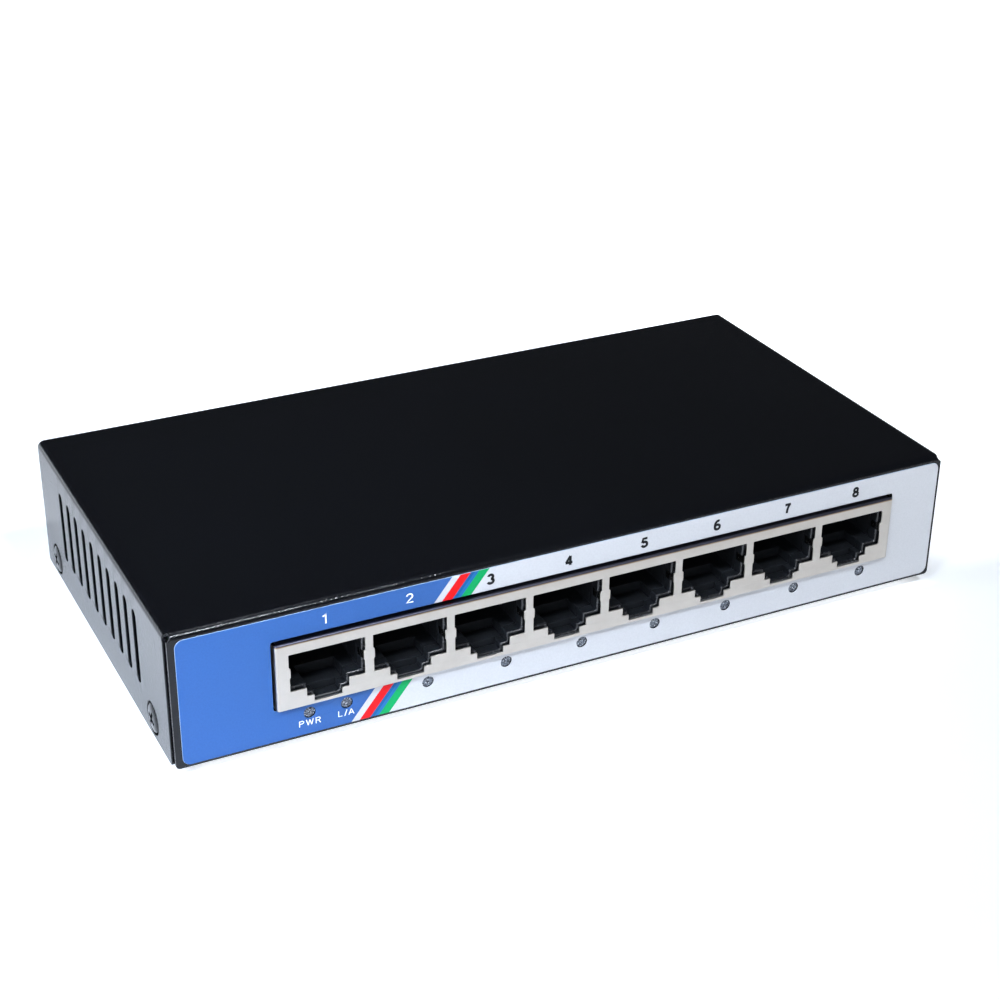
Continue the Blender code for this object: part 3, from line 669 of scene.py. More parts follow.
def block(bm, low, high, rim=0.0, segments=2):
    """Add a box with rounded edges to a mesh."""
    low, high = Vector(low), Vector(high)
    made = bmesh.ops.create_cube(bm, size=1.0)["verts"]
    bmesh.ops.scale(bm, vec=high - low, verts=made)
    bmesh.ops.translate(bm, vec=(low + high) / 2, verts=made)
    if rim:
        edges = list({e for v in made for e in v.link_edges})
        bmesh.ops.bevel(
            bm, geom=edges, offset=rim, segments=segments, profile=0.5, affect="EDGES"
        )


def revolve(bm, profile, matrix, steps=32):
    """Add a solid of revolution from (radius, height) points, placed by a matrix."""
    rings = []
    for radius, height in profile:
        if radius < 1e-9:
            rings.append([bm.verts.new(matrix @ Vector((0, 0, height)))])
            continue
        ring = []
        for i in range(steps):
            angle = 2 * math.pi * i / steps
            spot = Vector((radius * math.cos(angle), radius * math.sin(angle), height))
            ring.append(bm.verts.new(matrix @ spot))
        rings.append(ring)
    for upper, lower in zip(rings, rings[1:]):
        for i in range(steps):
            j = (i + 1) % steps
            corners = [upper[i % len(upper)], upper[j % len(upper)]]
            corners += [lower[j % len(lower)], lower[i % len(lower)]]
            unique = list(dict.fromkeys(corners))
            if len(unique) > 2:
                bm.faces.new(unique)


def ribbon(bm, path, width_axis, half_width, half_thickness):
    """Add a flat strip that follows points lying in a plane square to an axis."""
    width = Vector((0, 0, 0))
    width[width_axis] = half_width
    rows = []
    for i, point in enumerate(path):
        ahead = Vector(path[min(i + 1, len(path) - 1)])
        behind = Vector(path[max(i - 1, 0)])
        side = (ahead - behind).cross(width).normalized() * half_thickness
        here = Vector(point)
        corners = [here + width + side, here - width + side]
        corners += [here - width - side, here + width - side]
        rows.append([bm.verts.new(c) for c in corners])
    for first, second in zip(rows, rows[1:]):
        for i in range(4):
            j = (i + 1) % 4
            bm.faces.new((first[i], first[j], second[j], second[i]))
    bm.faces.new(rows[0][::-1])
    bm.faces.new(rows[-1])


# --- Case ---


def cover_flat_z(height):
    """Distance past the cover's bend start, in the flat, of a height on a flange."""
    return flange_reach(BEND_RADIUS, SHEET, HEIGHT - height)


def cover_outline():
    """Flat outline of the cover, with the relieved corners between its flanges."""
    bend_x = HALF_WIDTH - BEND_RADIUS
    bend_y = FRONT + BEND_RADIUS
    reach = cover_flat_z(0)
    flange_x = HALF_WIDTH - SEAM_INSET
    low_y = bend_y - reach
    far_x = bend_x + reach
    hole_x, hole_y = bend_x + 0.0010, bend_y - 0.00045
    first = 360 - math.degrees(math.acos((flange_x - hole_x) / RELIEF_RADIUS))
    last = math.degrees(math.asin((bend_y - hole_y) / RELIEF_RADIUS))
    corner = FLANGE_CORNER
    right = arc(flange_x - corner, low_y + corner, corner, -90, 0, 6)
    right += arc(hole_x, hole_y, RELIEF_RADIUS, first, last, 14)
    right += arc(far_x - corner, bend_y + corner, corner, -90, 0, 6)
    right += arc(far_x - corner, BACK - corner, corner, 0, 90, 6)
    left = [(-x, y) for x, y in reversed(right)]
    return right + left


def window_outline(place):
    """Window of the jack block; place turns a height on the case into a coordinate."""
    left, right = SHIELD_LOW.x - WINDOW_GAP, SHIELD_HIGH.x + WINDOW_GAP
    low, high = place(WINDOW_BOTTOM), place(WINDOW_TOP)
    return rounded_rectangle(left, low, right, high, WINDOW_CORNER, 3)


def cover_holes():
    """Window, indicator holes, vents and screw seats in the flat cover."""
    bend_x = HALF_WIDTH - BEND_RADIUS

    def front_y(height):
        return FRONT + BEND_RADIUS - cover_flat_z(height)

    holes = [window_outline(front_y)]
    for _, x in led_places():
        holes.append(circle(x, front_y(LED_Z), LED_HOLE_RADIUS + 0.00005, 24))
    middle = bend_x + cover_flat_z(SLOT_MIDDLE_Z)
    straight = (SLOT_LENGTH - SLOT_WIDTH) / 2
    for side in (-1, 1):
        for i in range(SLOT_COUNT):
            y = SLOT_REAR_Y - i * SLOT_PITCH
            slot = arc(middle + straight, y, SLOT_WIDTH / 2, -90, 90, 12)
            slot += arc(middle - straight, y, SLOT_WIDTH / 2, 90, 270, 12)
            holes.append([(side * a, b) for a, b in slot])
        for y in SCREW_YS.values():
            x = side * (bend_x + cover_flat_z(SCREW_Z))
            holes.append(circle(x, y, SCREW_RADIUS + SCREW_GAP, 40))
    return holes


def make_cover(coat):
    """Top, front flange and side flanges folded from one sheet."""
    bm = plate("cover_sheet", [cover_outline()] + cover_holes(), SHEET, RIM)
    folds = [(1, -1, -(FRONT + BEND_RADIUS))]
    folds += [(0, side, HALF_WIDTH - BEND_RADIUS) for side in (-1, 1)]
    fold(bm, folds, BEND_RADIUS, SHEET)
    bmesh.ops.translate(bm, vec=(0, 0, COVER_HIGH.z), verts=bm.verts)
    add_piece("cover_shell", bm, coat, ["cover"])


def tray_outline():
    """Flat outline of the tray: bottom, front lip, side flanges and rear panel."""
    half = TRAY_HIGH.x
    bend_x = half - BEND_RADIUS
    front_bend = TRAY_LOW.y + BEND_RADIUS
    rear_bend = TRAY_HIGH.y - BEND_RADIUS
    floor = TRAY_LOW.z - CASE_Z
    lip = flange_reach(BEND_RADIUS, SHEET, TRAY_LIP_TOP - floor)
    side = bend_x + flange_reach(BEND_RADIUS, SHEET, TRAY_SIDE_TOP - floor)
    rear_top = COVER_HIGH.z - SHEET - LID_CLEARANCE
    rear = rear_bend + flange_reach(BEND_RADIUS, SHEET, rear_top - TRAY_LOW.z)
    lip_half, rear_half = half - TRAY_LIP_INSET, half - TRAY_REAR_INSET
    notch = TRAY_NOTCH
    right = [
        (lip_half, front_bend - lip),
        (lip_half, front_bend - notch),
        (bend_x - notch, front_bend - notch),
        (bend_x - notch, front_bend + notch),
        (side, front_bend + notch),
        (side, rear_bend - notch),
        (bend_x - notch, rear_bend - notch),
        (bend_x - notch, rear_bend + notch / 2),
        (bend_x + 0.0002, rear_bend + 0.0016),
        (rear_half, rear_bend + 0.0016),
        (rear_half, rear),
    ]
    left = [(-x, y) for x, y in reversed(right)]
    return softened(right + left, 0.0004)


def tray_holes():
    """Keyholes, inlet window and lock slot of the flat tray."""
    rear_bend = TRAY_HIGH.y - BEND_RADIUS
    floor = TRAY_LOW.z - CASE_Z

    def rear_y(height):
        return rear_bend + flange_reach(BEND_RADIUS, SHEET, height - floor)

    half = INLET_WIDTH / 2 + INLET_GAP
    low, high = INLET_BASE - INLET_GAP, INLET_BASE + INLET_HEIGHT + INLET_GAP
    holes = [
        rounded_rectangle(INLET_X - half, rear_y(low), INLET_X + half, rear_y(high), 0.0006, 4),
        rounded_rectangle(
            LOCK_X - LOCK_HALF_WIDTH,
            rear_y(LOCK_BOTTOM),
            LOCK_X + LOCK_HALF_WIDTH,
            rear_y(LOCK_TOP),
            LOCK_CORNER,
        ),
    ]
    middle = (FRONT + BACK) / 2
    opening = math.degrees(math.acos(KEYHOLE_NECK / KEYHOLE_HEAD))
    for side in (-1, 1):
        x = side * KEYHOLE_X
        keyhole = arc(x, middle, KEYHOLE_HEAD, 180 - opening, 360 + opening, 20)
        holes.append(keyhole + arc(x, middle + KEYHOLE_REACH, KEYHOLE_NECK, 0, 180, 10))
    return holes


def make_tray(coat):
    """Bottom, rear panel, side flanges and front lip folded from one sheet."""
    bm = plate("tray_sheet", [tray_outline()] + tray_holes(), SHEET, RIM)
    folds = [(1, -1, -(TRAY_LOW.y + BEND_RADIUS)), (1, 1, TRAY_HIGH.y - BEND_RADIUS)]
    folds += [(0, side, TRAY_HIGH.x - BEND_RADIUS) for side in (-1, 1)]
    fold(bm, folds, BEND_RADIUS, SHEET)
    for vert in bm.verts:
        vert.co.z = TRAY_LOW.z - vert.co.z
    bmesh.ops.reverse_faces(bm, faces=bm.faces)
    add_piece("tray_shell", bm, coat, ["base_tray"])


def cross_cutter(bm, place, side, size=0.0032, blade=0.0008, depth=0.0011):
    """Add two crossed tapering blades for a Phillips recess in a head that faces X."""
    for turn in (25, 115):
        angle = math.radians(turn)
        along = Vector((0, math.cos(angle), math.sin(angle)))
        across = Vector((0, -math.sin(angle), math.cos(angle)))
        corners = []
        for x, half_long, half_wide in (
            (0.0006, size / 2, blade / 2),
            (-depth, size / 2 * 0.15, blade / 2 * 0.3),
        ):
            for a, b in ((1, 1), (-1, 1), (-1, -1), (1, -1)):
                spot = place + along * half_long * a + across * half_wide * b
                corners.append(bm.verts.new(spot + Vector((side * x, 0, 0))))
        outer, inner = corners[:4], corners[4:]
        bm.faces.new(outer)
        bm.faces.new(inner[::-1])
        for i in range(4):
            j = (i + 1) % 4
            bm.faces.new((outer[i], inner[i], inner[j], outer[j]))


def carved(bm, cutter_bm):
    """Subtract one mesh from another and give the result as a new bmesh."""
    objects = []
    for source in (bm, cutter_bm):
        bmesh.ops.recalc_face_normals(source, faces=source.faces)
        mesh = bpy.data.meshes.new("carving")
        source.to_mesh(mesh)
        source.free()
        obj = bpy.data.objects.new("carving", mesh)
        bpy.context.scene.collection.objects.link(obj)
        objects.append(obj)
    mod = objects[0].modifiers.new("carve", "BOOLEAN")
    mod.operation = "DIFFERENCE"
    mod.solver = "EXACT"
    mod.use_self = True
    mod.object = objects[1]
    depsgraph = bpy.context.evaluated_depsgraph_get()
    result = bmesh.new()
    result.from_mesh(bpy.data.meshes.new_from_object(objects[0].evaluated_get(depsgraph)))
    for obj in objects:
        bpy.data.objects.remove(obj, do_unlink=True)
    return result


def make_side_screws(mat):
    """Low-head cross-recess screws in the side flanges."""
    for side, letter in ((-1, "l"), (1, "r")):
        for row, y in SCREW_YS.items():
            place = Vector((side * HALF_WIDTH, y, case_z(SCREW_Z)))
            frame_x = Matrix.Translation(place) @ Matrix.Rotation(side * math.pi / 2, 4, "Y")
            bm = bmesh.new()
            profile = [
                (0.0, 0.00030),
                (0.0011, 0.00028),
                (0.0018, 0.00020),
                (0.00222, 0.00008),
                (0.00236, -0.00004),
                (SCREW_RADIUS, -0.00018),
                (SCREW_RADIUS, -0.00060),
                (0.0, -0.00120),
            ]
            revolve(bm, profile, frame_x, 48)
            cutter = bmesh.new()
            cross_cutter(cutter, place, side)
            head = carved(bm, cutter)
            node = f"side_screw_{letter}{row}"
            add_piece(f"screw_head_{letter}{row}", head, mat, [node], 30)


def make_feet(mat):
    """Stick-on rubber feet."""
    for ending in ("lf", "rf", "lr", "rr"):
        low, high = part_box(f"foot_{ending}")
        middle = (low + high) / 2
        radius, top = (high.x - low.x) / 2, high.z
        profile = [(0.0, top), (radius - 0.0002, top), (radius, top - 0.0002)]
        profile += arc(radius - FOOT_TAPER - FOOT_EDGE, FOOT_EDGE, FOOT_EDGE, 0, -90, 5)
        profile += [(FOOT_HOLLOW, 0.0), (0.0, 0.0001)]
        bm = bmesh.new()
        revolve(bm, profile, Matrix.Translation((middle.x, middle.y, 0)), 40)
        add_piece(f"rubber_foot_{ending}", bm, mat, [f"foot_{ending}"], 40)


# --- Front ---


def stripe_value(x, z):
    """Where a point lies across the slanting stripes, as an X at their top."""
    return x - STRIPE_SLOPE * (z - case_z(STRIPE_TOP_Z))


def make_label(films):
    """Printed film, divided along the stripes' edges so that each colour is its own."""
    edge = rounded_rectangle(LABEL_LOW.x, LABEL_BOTTOM, LABEL_RIGHT, LABEL_HIGH.z, LABEL_CORNER)
    loops = [edge, window_outline(case_z)]
    for _, x in led_places():
        loops.append(circle(x, case_z(LED_Z), LED_HOLE_RADIUS, 28))
    bm = plate("label_sheet", loops, LABEL_HIGH.y - LABEL_LOW.y, 0.00003)
    turn_to_front(bm, LABEL_LOW.y)
    normal = Vector((1, 0, -STRIPE_SLOPE)).normalized()
    for x in STRIPE_XS:
        geom = bm.verts[:] + bm.edges[:] + bm.faces[:]
        spot = Vector((x, 0, case_z(STRIPE_TOP_Z)))
        bmesh.ops.bisect_plane(bm, geom=geom, dist=1e-7, plane_co=spot, plane_no=normal)
    for face in bm.faces:
        middle = face.calc_center_median()
        across = stripe_value(middle.x, middle.z)
        face.material_index = sum(across > x for x in STRIPE_XS)
    add_piece("printed_film", bm, films, ["front_label"])


def make_backing(mat):
    """Pale carrier under the print, showing as a thin line round its edge."""
    show = BACKING_SHOW
    left, right = LABEL_LOW.x - show, LABEL_RIGHT + show
    low, high = LABEL_BOTTOM - show, LABEL_HIGH.z + show
    edge = rounded_rectangle(left, low, right, high, LABEL_CORNER + show)
    holes = [circle(x, case_z(LED_Z), LED_HOLE_RADIUS + show, 28) for _, x in led_places()]
    bm = plate("backing_sheet", [edge, window_outline(case_z)] + holes, BACKING_SHEET, 0.00002)
    turn_to_front(bm, LABEL_HIGH.y - BACKING_SHEET)
    add_piece("film_backing", bm, mat)


def bow(centre_a, centre_b, half_a, half_b, start, end, steps=16):
    """Points along part of an ellipse, angles in degrees."""
    unit = arc(0, 0, 1, start, end, steps)
    return [(centre_a + half_a * a, centre_b + half_b * b) for a, b in unit]


def legs(*points):
    """Straight strokes from each point to the next, kept apart so that turns stay wide."""
    return [list(pair) for pair in zip(points, points[1:])]


def glyph(letter):
    """Strokes of one character, 1 high, standing on 0 and centred on 0."""
    low, high = STROKE / 2, 1 - STROKE / 2
    strokes = {
        "1": [[(-0.20, 0.74), (-0.06, 0.82), (0.03, 0.97), (0.03, 0.0)]],
        "2": [bow(0, 0.69, 0.235, 0.24, 170, -30) + [(-0.25, low), (0.30, low)]],
        "3": [bow(-0.01, 0.72, 0.20, 0.21, 165, -85), bow(-0.01, 0.29, 0.24, 0.23, 85, -165)],
        "4": legs((0.12, 0.0), (0.12, 0.94), (-0.25, 0.30)) + legs((-0.30, 0.27), (0.31, 0.27)),
        "5": [[(0.25, high), (-0.13, high), (-0.20, 0.48)], bow(0, 0.31, 0.24, 0.25, 135, -165)],
        "6": [bow(0, 0.30, 0.23, 0.24, 0, 360, 24), bow(0.06, 0.44, 0.29, 0.50, 65, 185)],
        "7": [[(-0.27, high), (0.26, high)], bow(0.36, 0.0, 0.42, 0.97, 105, 180)],
        "8": [bow(0, 0.73, 0.18, 0.20, 0, 360, 24), bow(0, 0.28, 0.23, 0.22, 0, 360, 24)],
        "P": [[(-0.27, 0.0), (-0.27, 1.0)]],
        "W": legs((-0.46, 1.0), (-0.23, 0.04), (0.0, 0.94), (0.23, 0.04), (0.46, 1.0)),
        "L": [[(-0.22, 1.0), (-0.22, low), (0.27, low)]],
        "/": [[(-0.16, 0.0), (0.16, 1.0)]],
        "A": legs((-0.35, 0.0), (0.0, 0.94), (0.35, 0.0)) + legs((-0.22, 0.32), (0.22, 0.32)),
    }
    loop = [(-0.27, high)] + bow(0.06, 0.72, 0.22, 0.22, 90, -90) + [(-0.27, 0.5)]
    strokes["P"].append(loop)
    strokes["R"] = strokes["P"] + [[(0.05, 0.5), (0.32, 0.0)]]
    return strokes[letter]


def make_text(name, body, x, z, height, mat, weight, advance=0.75):
    """A line of print laid on the film stroke by stroke, centred on a point."""
    bm = bmesh.new()
    y = LABEL_LOW.y - INK / 2
    for i, letter in enumerate(body):
        middle = x + (i - (len(body) - 1) / 2) * advance * height
        for stroke in glyph(letter):
            path = []
            for a, b in stroke:
                path.append((middle + a * height * WIDE, y, case_z(z) + (b - 0.5) * height))
            ribbon(bm, path, 1, INK / 2, weight * height / 2)
    add_piece(name, bm, mat, angle=30, weighted=False)


def make_print(white, black):
    """Socket numbers and the two indicator legends."""
    for i in range(PORTS):
        x = NUMERAL_FIRST_X + i * NUMERAL_PITCH
        ink, weight = (white, LIGHT_STROKE) if i < 2 else (black, BOLD_STROKE)
        make_text(f"numeral_{i + 1}", str(i + 1), x, NUMERAL_Z, NUMERAL_HEIGHT, ink, weight)
    for name, body, x, advance in (
        ("legend_power", "PWR", LEGEND_POWER_X, 1.25),
        ("legend_link", "L/A", LEGEND_LINK_X, 0.85),
    ):
        make_text(name, body, x, LEGEND_Z, LEGEND_HEIGHT, white, LIGHT_STROKE, advance)


def socket_outline(index, inset=0.0, nubs=True, steps=2):
    """Opening of one socket with its latch steps down, in X and height on the case."""
    half = PORT_HALF - inset
    right = [(half, PORT_TOP - inset)]
    if nubs:
        right += [(half, NUB_TOP), (NUB_HALF, NUB_TOP - 0.00015)]
        right += [(NUB_HALF, NUB_BOTTOM + 0.00015), (half - 0.0001, NUB_BOTTOM)]
    corners = [
        (half - 0.0001, PORT_FLOOR + inset),
        (LATCH_UPPER_HALF - inset / 2, LATCH_UPPER_Z + inset / 2),
        (LATCH_LOWER_HALF - inset / 2, LATCH_LOWER_Z + inset / 2),
    ]
    right.append(corners[0])
    for above, below in zip(corners[:steps], corners[1:]):
        right += [(below[0], above[1]), below]
    left = [(-x, z) for x, z in reversed(right)]
    return [(port_x(index) + x, z) for x, z in right + left]


def make_shield(mat):
    """Plated shell of the jack block: pierced front with its top and sides folded back."""
    bend = SHIELD_BEND
    depth = SHIELD_HIGH.y - SHIELD_LOW.y
    reach = flange_reach(bend, SHIELD_SHEET, depth)
    low, top = SHIELD_LOW.z, SHIELD_HIGH.z - bend
    left, right = SHIELD_LOW.x + bend, SHIELD_HIGH.x - bend
    mitre = 0.00012
    outline = [
        (left - reach, low),
        (right + reach, low),
        (right + reach, top - mitre),
        (right + mitre, top - mitre / 2),
        (right - mitre / 2, top + mitre),
        (right - mitre / 2, top + reach),
        (left + mitre / 2, top + reach),
        (left + mitre / 2, top + mitre),
        (left - mitre, top - mitre / 2),
        (left - reach, top - mitre),
    ]
    loops = [outline]
    for i in range(PORTS):
        opening = [(x, case_z(z)) for x, z in socket_outline(i)]
        loops.append(softened(opening, 0.0001))
    bm = plate("shield_sheet", loops, SHIELD_SHEET, 0.00006)
    fold(bm, [(1, 1, top), (0, 1, right), (0, -1, -left)], bend, SHIELD_SHEET, 5)
    turn_to_front(bm, SHIELD_LOW.y)
    for x in (left, right):
        knuckle = Matrix.Translation((x, SHIELD_LOW.y + bend, top))
        bmesh.ops.create_uvsphere(bm, u_segments=24, v_segments=16, radius=bend, matrix=knuckle)
    add_piece("shield_shell", bm, mat, ["jack_shield"])


def make_shield_springs(mat):
    """Grounding fingers bent inwards at both sides of every socket."""
    bm = bmesh.new()
    middle = case_z((NUB_TOP + NUB_BOTTOM) / 2)
    half = (NUB_TOP - NUB_BOTTOM) / 2 - 0.00025
    y = SHIELD_LOW.y + SHIELD_SHEET
    for i in range(PORTS):
        for side in (-1, 1):
            path = []
            for k in range(9):
                t = k / 8
                swell = FINGER_SWELL * math.sin(math.pi * min(1.0, t * 1.6))
                x = port_x(i) + side * (NUB_HALF + 0.0001 - swell)
                path.append((x, y + 0.00005 + FINGER_LENGTH * t, middle))
            ribbon(bm, path, 2, half, FINGER_HALF_THICKNESS)
    add_piece("grounding_fingers", bm, mat, angle=40)


def make_housing(mats):
    """Black body of the jack block: its sockets lose a latch step at each depth."""
    start = HOUSING_LOW.y + HOUSING_SUNK
    low, high = HOUSING_LOW, HOUSING_HIGH
    outside = rounded_rectangle(low.x, low.z, high.x, high.z, HOUSING_CORNER, 3)
    bm = bmesh.new()
    for steps, depth in ((2, LATCH_LOWER_DEPTH), (1, LATCH_UPPER_DEPTH), (0, SOCKET_DEPTH)):
        loops = [outside]
        for i in range(PORTS):
            hole = socket_outline(i, SOCKET_STEP_IN, False, steps)
            loops.append(softened([(x, case_z(z)) for x, z in hole], 0.0002))
        end = SHIELD_LOW.y + depth
        layer = plate("housing_layer", loops, end - start, SOCKET_RIM if steps == 2 else 0.00005)
        turn_to_front(layer, start)
        join(bm, layer)
        start = end + 0.00001
    block(bm, (low.x, start, low.z), high, HOUSING_CORNER)
    wire_bed(bm)
    rim_end = HOUSING_LOW.y + HOUSING_SUNK + SOCKET_RIM * 1.02  # just past the rounded rims
    # Faces past the rims take the lighter copy, which is painted light for the shaded socket
    # insides.
    for face in bm.faces:
        face.material_index = int(face.calc_center_median().y > rim_end)
    add_piece("housing_body", bm, mats, ["jack_housing"])


def wire_bed(bm):
    """Comb between the contact wires, at the rear of every socket."""
    for i in range(PORTS):
        rear = SHIELD_LOW.y + SOCKET_DEPTH
        for k in range(9):
            x = port_x(i) + (k - 4) * WIRE_PITCH
            low = (x - COMB_HALF_WIDTH, rear - COMB_DEPTH, case_z(COMB_BOTTOM))
            high = (x + COMB_HALF_WIDTH, rear + 0.0001, case_z(PORT_TOP))
            block(bm, low, high, 0.00005, 1)


def make_contacts(mat):
    """Eight sprung wires in every socket, from the top front down to the rear comb."""
    for i in range(PORTS):
        node = f"contact_insert_{i + 1}"
        low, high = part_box(node)
        bm = bmesh.new()
        for k in range(8):
            x = port_x(i) + (k - 3.5) * WIRE_PITCH
            path = [(x, low.y + 0.0001, high.z - 0.00015)]
            path += [
                (x, low.y + 0.0009 + a, high.z - 0.00115 + b)
                for a, b in arc(0, 0, 0.00095, 85, 60, 3)
            ]
            path.append((x, high.y - 0.0012, low.z + 0.0007))
            path.append((x, high.y, low.z + 0.0002))
            ribbon(bm, path, 0, WIRE_HALF_WIDTH, WIRE_HALF_THICKNESS)
        add_piece(f"contact_wires_{i + 1}", bm, mat, [node], 40)


def make_leds(lens_mat, body_mat):
    """Indicators: a domed lens in each hole of the film and its body behind."""
    bodies = bmesh.new()
    for node, x in led_places():
        low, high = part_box(node)
        body_front = FRONT + SHEET + LED_BODY_GAP
        block(bodies, (low.x, body_front, low.z), (high.x, high.y, high.z), 0.00015)
        place = Matrix.Translation((x, low.y, case_z(LED_Z)))
        bm = bmesh.new()
        profile = [(0.0, -LED_SUNK)]
        for turn in (20, 40, 60, 78):
            angle = math.radians(turn)
            height = -LED_SUNK - LED_CROWN * (1 - math.cos(angle))
            profile.append((LED_RADIUS * math.sin(angle), height))
        profile += [(LED_RADIUS, -0.0003), (LED_RADIUS, -LED_DEPTH), (0.0, -LED_DEPTH)]
        revolve(bm, profile, place @ Matrix.Rotation(math.pi / 2, 4, "X"), 32)
        add_piece(f"lens_{node[4:]}", bm, lens_mat, [node], 40)
    add_piece("led_bodies", bodies, body_mat)


# --- Rear and inside ---


def make_inlet(body_mat, pin_mat):
    """Barrel power inlet in the rear panel."""
    low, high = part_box("dc_jack")
    middle = case_z(INLET_AXIS_Z)
    loops = [
        rounded_rectangle(-high.x, low.z, -low.x, high.z, 0.0005, 4),
        circle(-INLET_X, middle, INLET_BORE, 40),
    ]
    bm = plate("inlet_front", loops, INLET_BORE_DEPTH, 0.0002)
    turn_to_front(bm, 0)
    bmesh.ops.rotate(bm, verts=bm.verts, matrix=Matrix.Rotation(math.pi, 3, "Z"))
    bmesh.ops.translate(bm, vec=(0, high.y, 0), verts=bm.verts)
    block(bm, (low.x, low.y, low.z), (high.x, high.y - INLET_BORE_DEPTH, high.z), 0.0003)
    add_piece("inlet_body", bm, body_mat, ["dc_jack"])
    pin_low, pin_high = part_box("dc_jack_pin")
    radius = (pin_high.x - pin_low.x) / 2
    root = pin_low.y - pin_high.y
    place = Matrix.Translation((INLET_X, pin_high.y, middle))
    pin = bmesh.new()
    profile = [(0.0, 0.0), (radius * 0.55, -0.00005), (radius * 0.9, -0.0003)]
    profile += [(radius, -0.0007), (radius, root), (0.0, root)]
    revolve(pin, profile, place @ Matrix.Rotation(-math.pi / 2, 4, "X"), 32)
    add_piece("inlet_pin", pin, pin_mat, ["dc_jack_pin"], 40)


def dress_nodes():
    """Materials for the CAD nodes that stay in view as they are."""
    epoxy = plastic("chip_epoxy", srgb(30, 30, 33), 0.5, 2500)
    zinc = metal("zinc_plate", srgb(190, 192, 194), 0.3)
    looks = {
        "circuit_board": laminate(),
        "switch_chip": epoxy,
        "heatsink": metal("heatsink_aluminium", srgb(196, 198, 200), 0.35, (0.05, 1, 1)),
        "crystal": metal("crystal_can", srgb(196, 197, 199), 0.25),
        "flash_chip": epoxy,
        "regulator": epoxy,
        "inductor": plastic("inductor_ferrite", srgb(40, 40, 42), 0.6, 1500),
        "rating_label": film("blank_film", srgb(222, 224, 226), 0.45),
    }
    for i in range(1, 5):
        looks[f"transformer_{i}"] = epoxy
    sleeve = plastic("capacitor_sleeve", srgb(26, 30, 44), 0.3, 900)
    for i in range(1, 4):
        looks[f"capacitor_{i}"] = sleeve
    for ending in ("lf", "rf", "lr", "rr"):
        looks[f"standoff_{ending}"] = zinc
        looks[f"board_screw_{ending}"] = zinc
    for node, mat in looks.items():
        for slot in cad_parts[node].material_slots:
            slot.material = mat


# --- Studio ---


def make_floor():
    """Wide flat floor under the object."""
    bm = bmesh.new()
    bmesh.ops.create_grid(bm, x_segments=2, y_segments=2, size=4.0)
    mesh = bpy.data.meshes.new("floor")
    bm.to_mesh(mesh)
    bm.free()
    mesh.materials.append(paint_floor())
    floor = bpy.data.objects.new("floor", mesh)
    bpy.context.scene.collection.objects.link(floor)


def make_light(name, place, aim, size, power, colour=PALE_LIGHT, spread=180):
    """A soft box that looks at a point; spread is how far its light fans out, in degrees."""
    data = bpy.data.lights.new(name, "AREA")
    data.shape = "RECTANGLE"
    data.size, data.size_y = size
    data.energy = power
    data.color = colour
    data.spread = math.radians(spread)
    light = bpy.data.objects.new(name, data)
    light.location = place
    toward = Vector(aim) - Vector(place)
    light.rotation_euler = toward.to_track_quat("-Z", "Y").to_euler()
    bpy.context.scene.collection.objects.link(light)


def make_lights():
    """Soft boxes: two large at the left, two small and high, two for the left side."""
    make_light("overhead", (-0.75, -0.3, 0.95), (-0.03, 0, 0), (0.9, 0.9), 1.05)
    make_light("bend_box", (0.15, -0.6, 0.93), (-0.06, -0.03, 0.02), (0.09, 0.09), 8.0)
    make_light("top_box", (0.18, 0.11, 1.09), (-0.06, -0.03, 0.02), (0.06, 0.06), 0.5)
    make_light("key", (-0.75, -1.0, 0.5), (0, 0, 0.01), (0.6, 0.6), 4.0)
    make_light(
        "left_box", (-0.27, -0.16, 0.24), (-0.097, -0.022, 0), (0.16, 0.16), 0.24, BLUE_LIGHT, 48
    )
    make_light("left_rear", (-0.55, 0.85, 0.075), (-0.05, 0, 0.02), (1.0, 0.13), 0.95, BLUE_LIGHT)


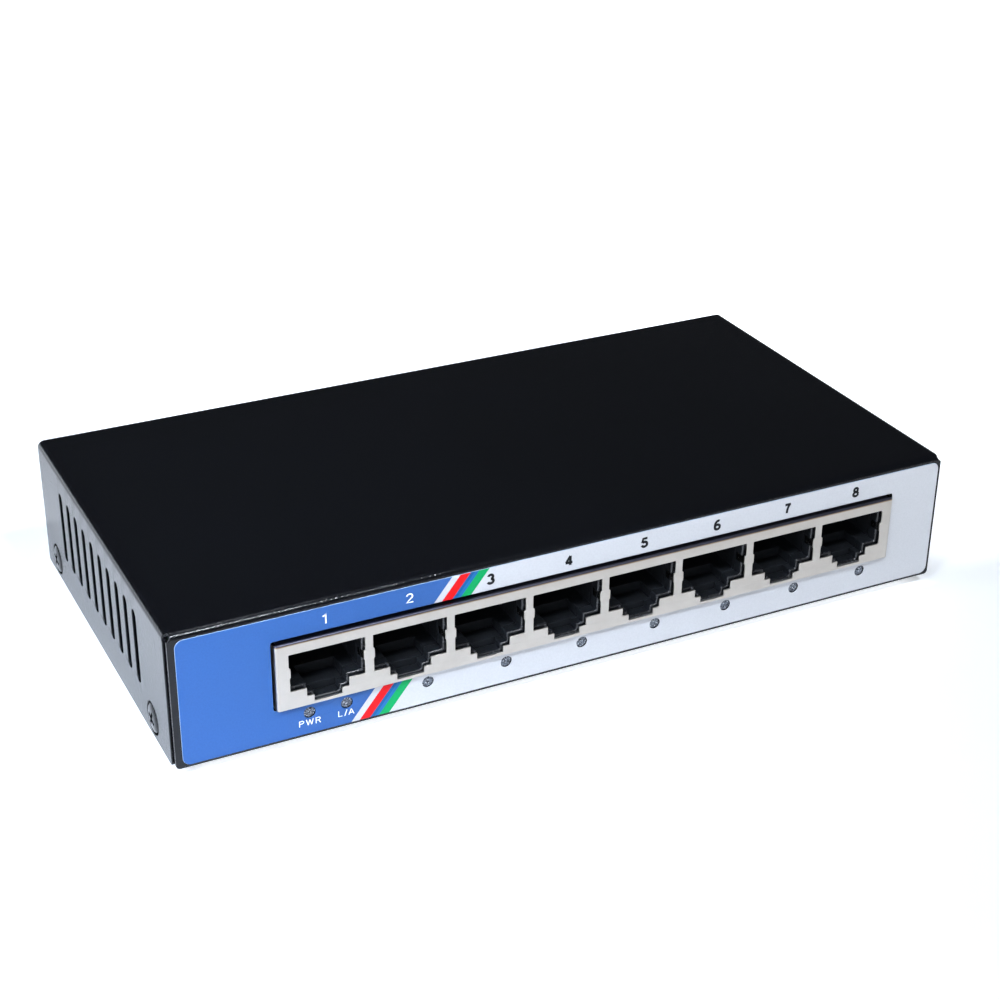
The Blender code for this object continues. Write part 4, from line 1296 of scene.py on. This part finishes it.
def make_world():
    """White backdrop whose light comes from near the horizon, with a dark ceiling."""
    world = bpy.data.worlds.new("studio")
    bpy.context.scene.world = world
    world.use_nodes = True
    nodes, links = world.node_tree.nodes, world.node_tree.links
    coords = nodes.new("ShaderNodeTexCoord")
    split = nodes.new("ShaderNodeSeparateXYZ")
    ramp = nodes.new("ShaderNodeValToRGB")
    links.new(coords.outputs["Generated"], split.inputs[0])
    links.new(split.outputs["Z"], ramp.inputs["Fac"])
    stops = ramp.color_ramp.elements
    stops[0].position, stops[0].color = HORIZON_TOP, BACKDROP
    stops[1].position, stops[1].color = CEILING_START, CEILING
    paths = nodes.new("ShaderNodeLightPath")
    backdrop = nodes.new("ShaderNodeMix")
    backdrop.data_type = "RGBA"
    backdrop.inputs[7].default_value = BACKDROP
    links.new(paths.outputs["Is Camera Ray"], backdrop.inputs["Factor"])
    links.new(ramp.outputs["Color"], backdrop.inputs[6])
    links.new(backdrop.outputs[2], nodes["Background"].inputs["Color"])
    nodes["Background"].inputs["Strength"].default_value = 1.0


def make_camera():
    """Camera in front, to the left and above."""
    data = bpy.data.cameras.new("camera")
    data.lens = CAMERA_LENS
    data.sensor_width = CAMERA_SENSOR
    camera = bpy.data.objects.new("camera", data)
    camera.location = CAMERA_PLACE
    camera.rotation_euler = [math.radians(angle) for angle in CAMERA_TURN]
    bpy.context.scene.collection.objects.link(camera)
    bpy.context.scene.camera = camera


def main():
    """Build every piece and the studio."""
    bpy.context.scene.view_settings.view_transform = "Standard"
    coat = powder_coat()
    make_cover(coat)
    make_tray(coat)
    white = film("film_white", srgb(191, 192, 195))
    films = [
        film("film_blue", srgb(48, 89, 150)),
        white,
        film("film_red", srgb(212, 12, 18)),
        film("film_navy", srgb(16, 84, 140)),
        film("film_sky", srgb(26, 98, 158)),
        film("film_green", srgb(0, 152, 84)),
        white,
    ]
    make_label(films)
    make_backing(film("film_edge", srgb(176, 194, 218)))
    make_print(film("ink_white", srgb(244, 246, 249)), film("ink_black", srgb(8, 9, 14)))
    tin = plated_steel()
    make_shield(tin)
    make_shield_springs(metal("spring_steel", srgb(150, 148, 144), 0.2))
    # Two copies of one black plastic. The rim's copy is glossier and darker, the darkness being
    # painted shade for its face in the shield's shadow. The insides' copy is lighter, painted
    # light that offsets their shade.
    make_housing(
        [
            glossy_plastic("jack_rim_plastic_painted_shade", srgb(15, 16, 19), 0.26),
            plastic("jack_plastic", srgb(20, 22, 25), 0.5, 2600, 0.1),
        ]
    )
    make_contacts(metal("contact_gold", srgb(214, 178, 104), 0.22))
    make_leds(led_lens(), plastic("led_body", srgb(70, 74, 80), 0.35))
    make_side_screws(coat)
    make_feet(rubber())
    make_inlet(
        plastic("inlet_plastic", srgb(20, 20, 22), 0.4),
        metal("pin_metal", srgb(206, 206, 204), 0.2),
    )
    dress_nodes()
    make_floor()
    make_lights()
    make_world()
    make_camera()


main()
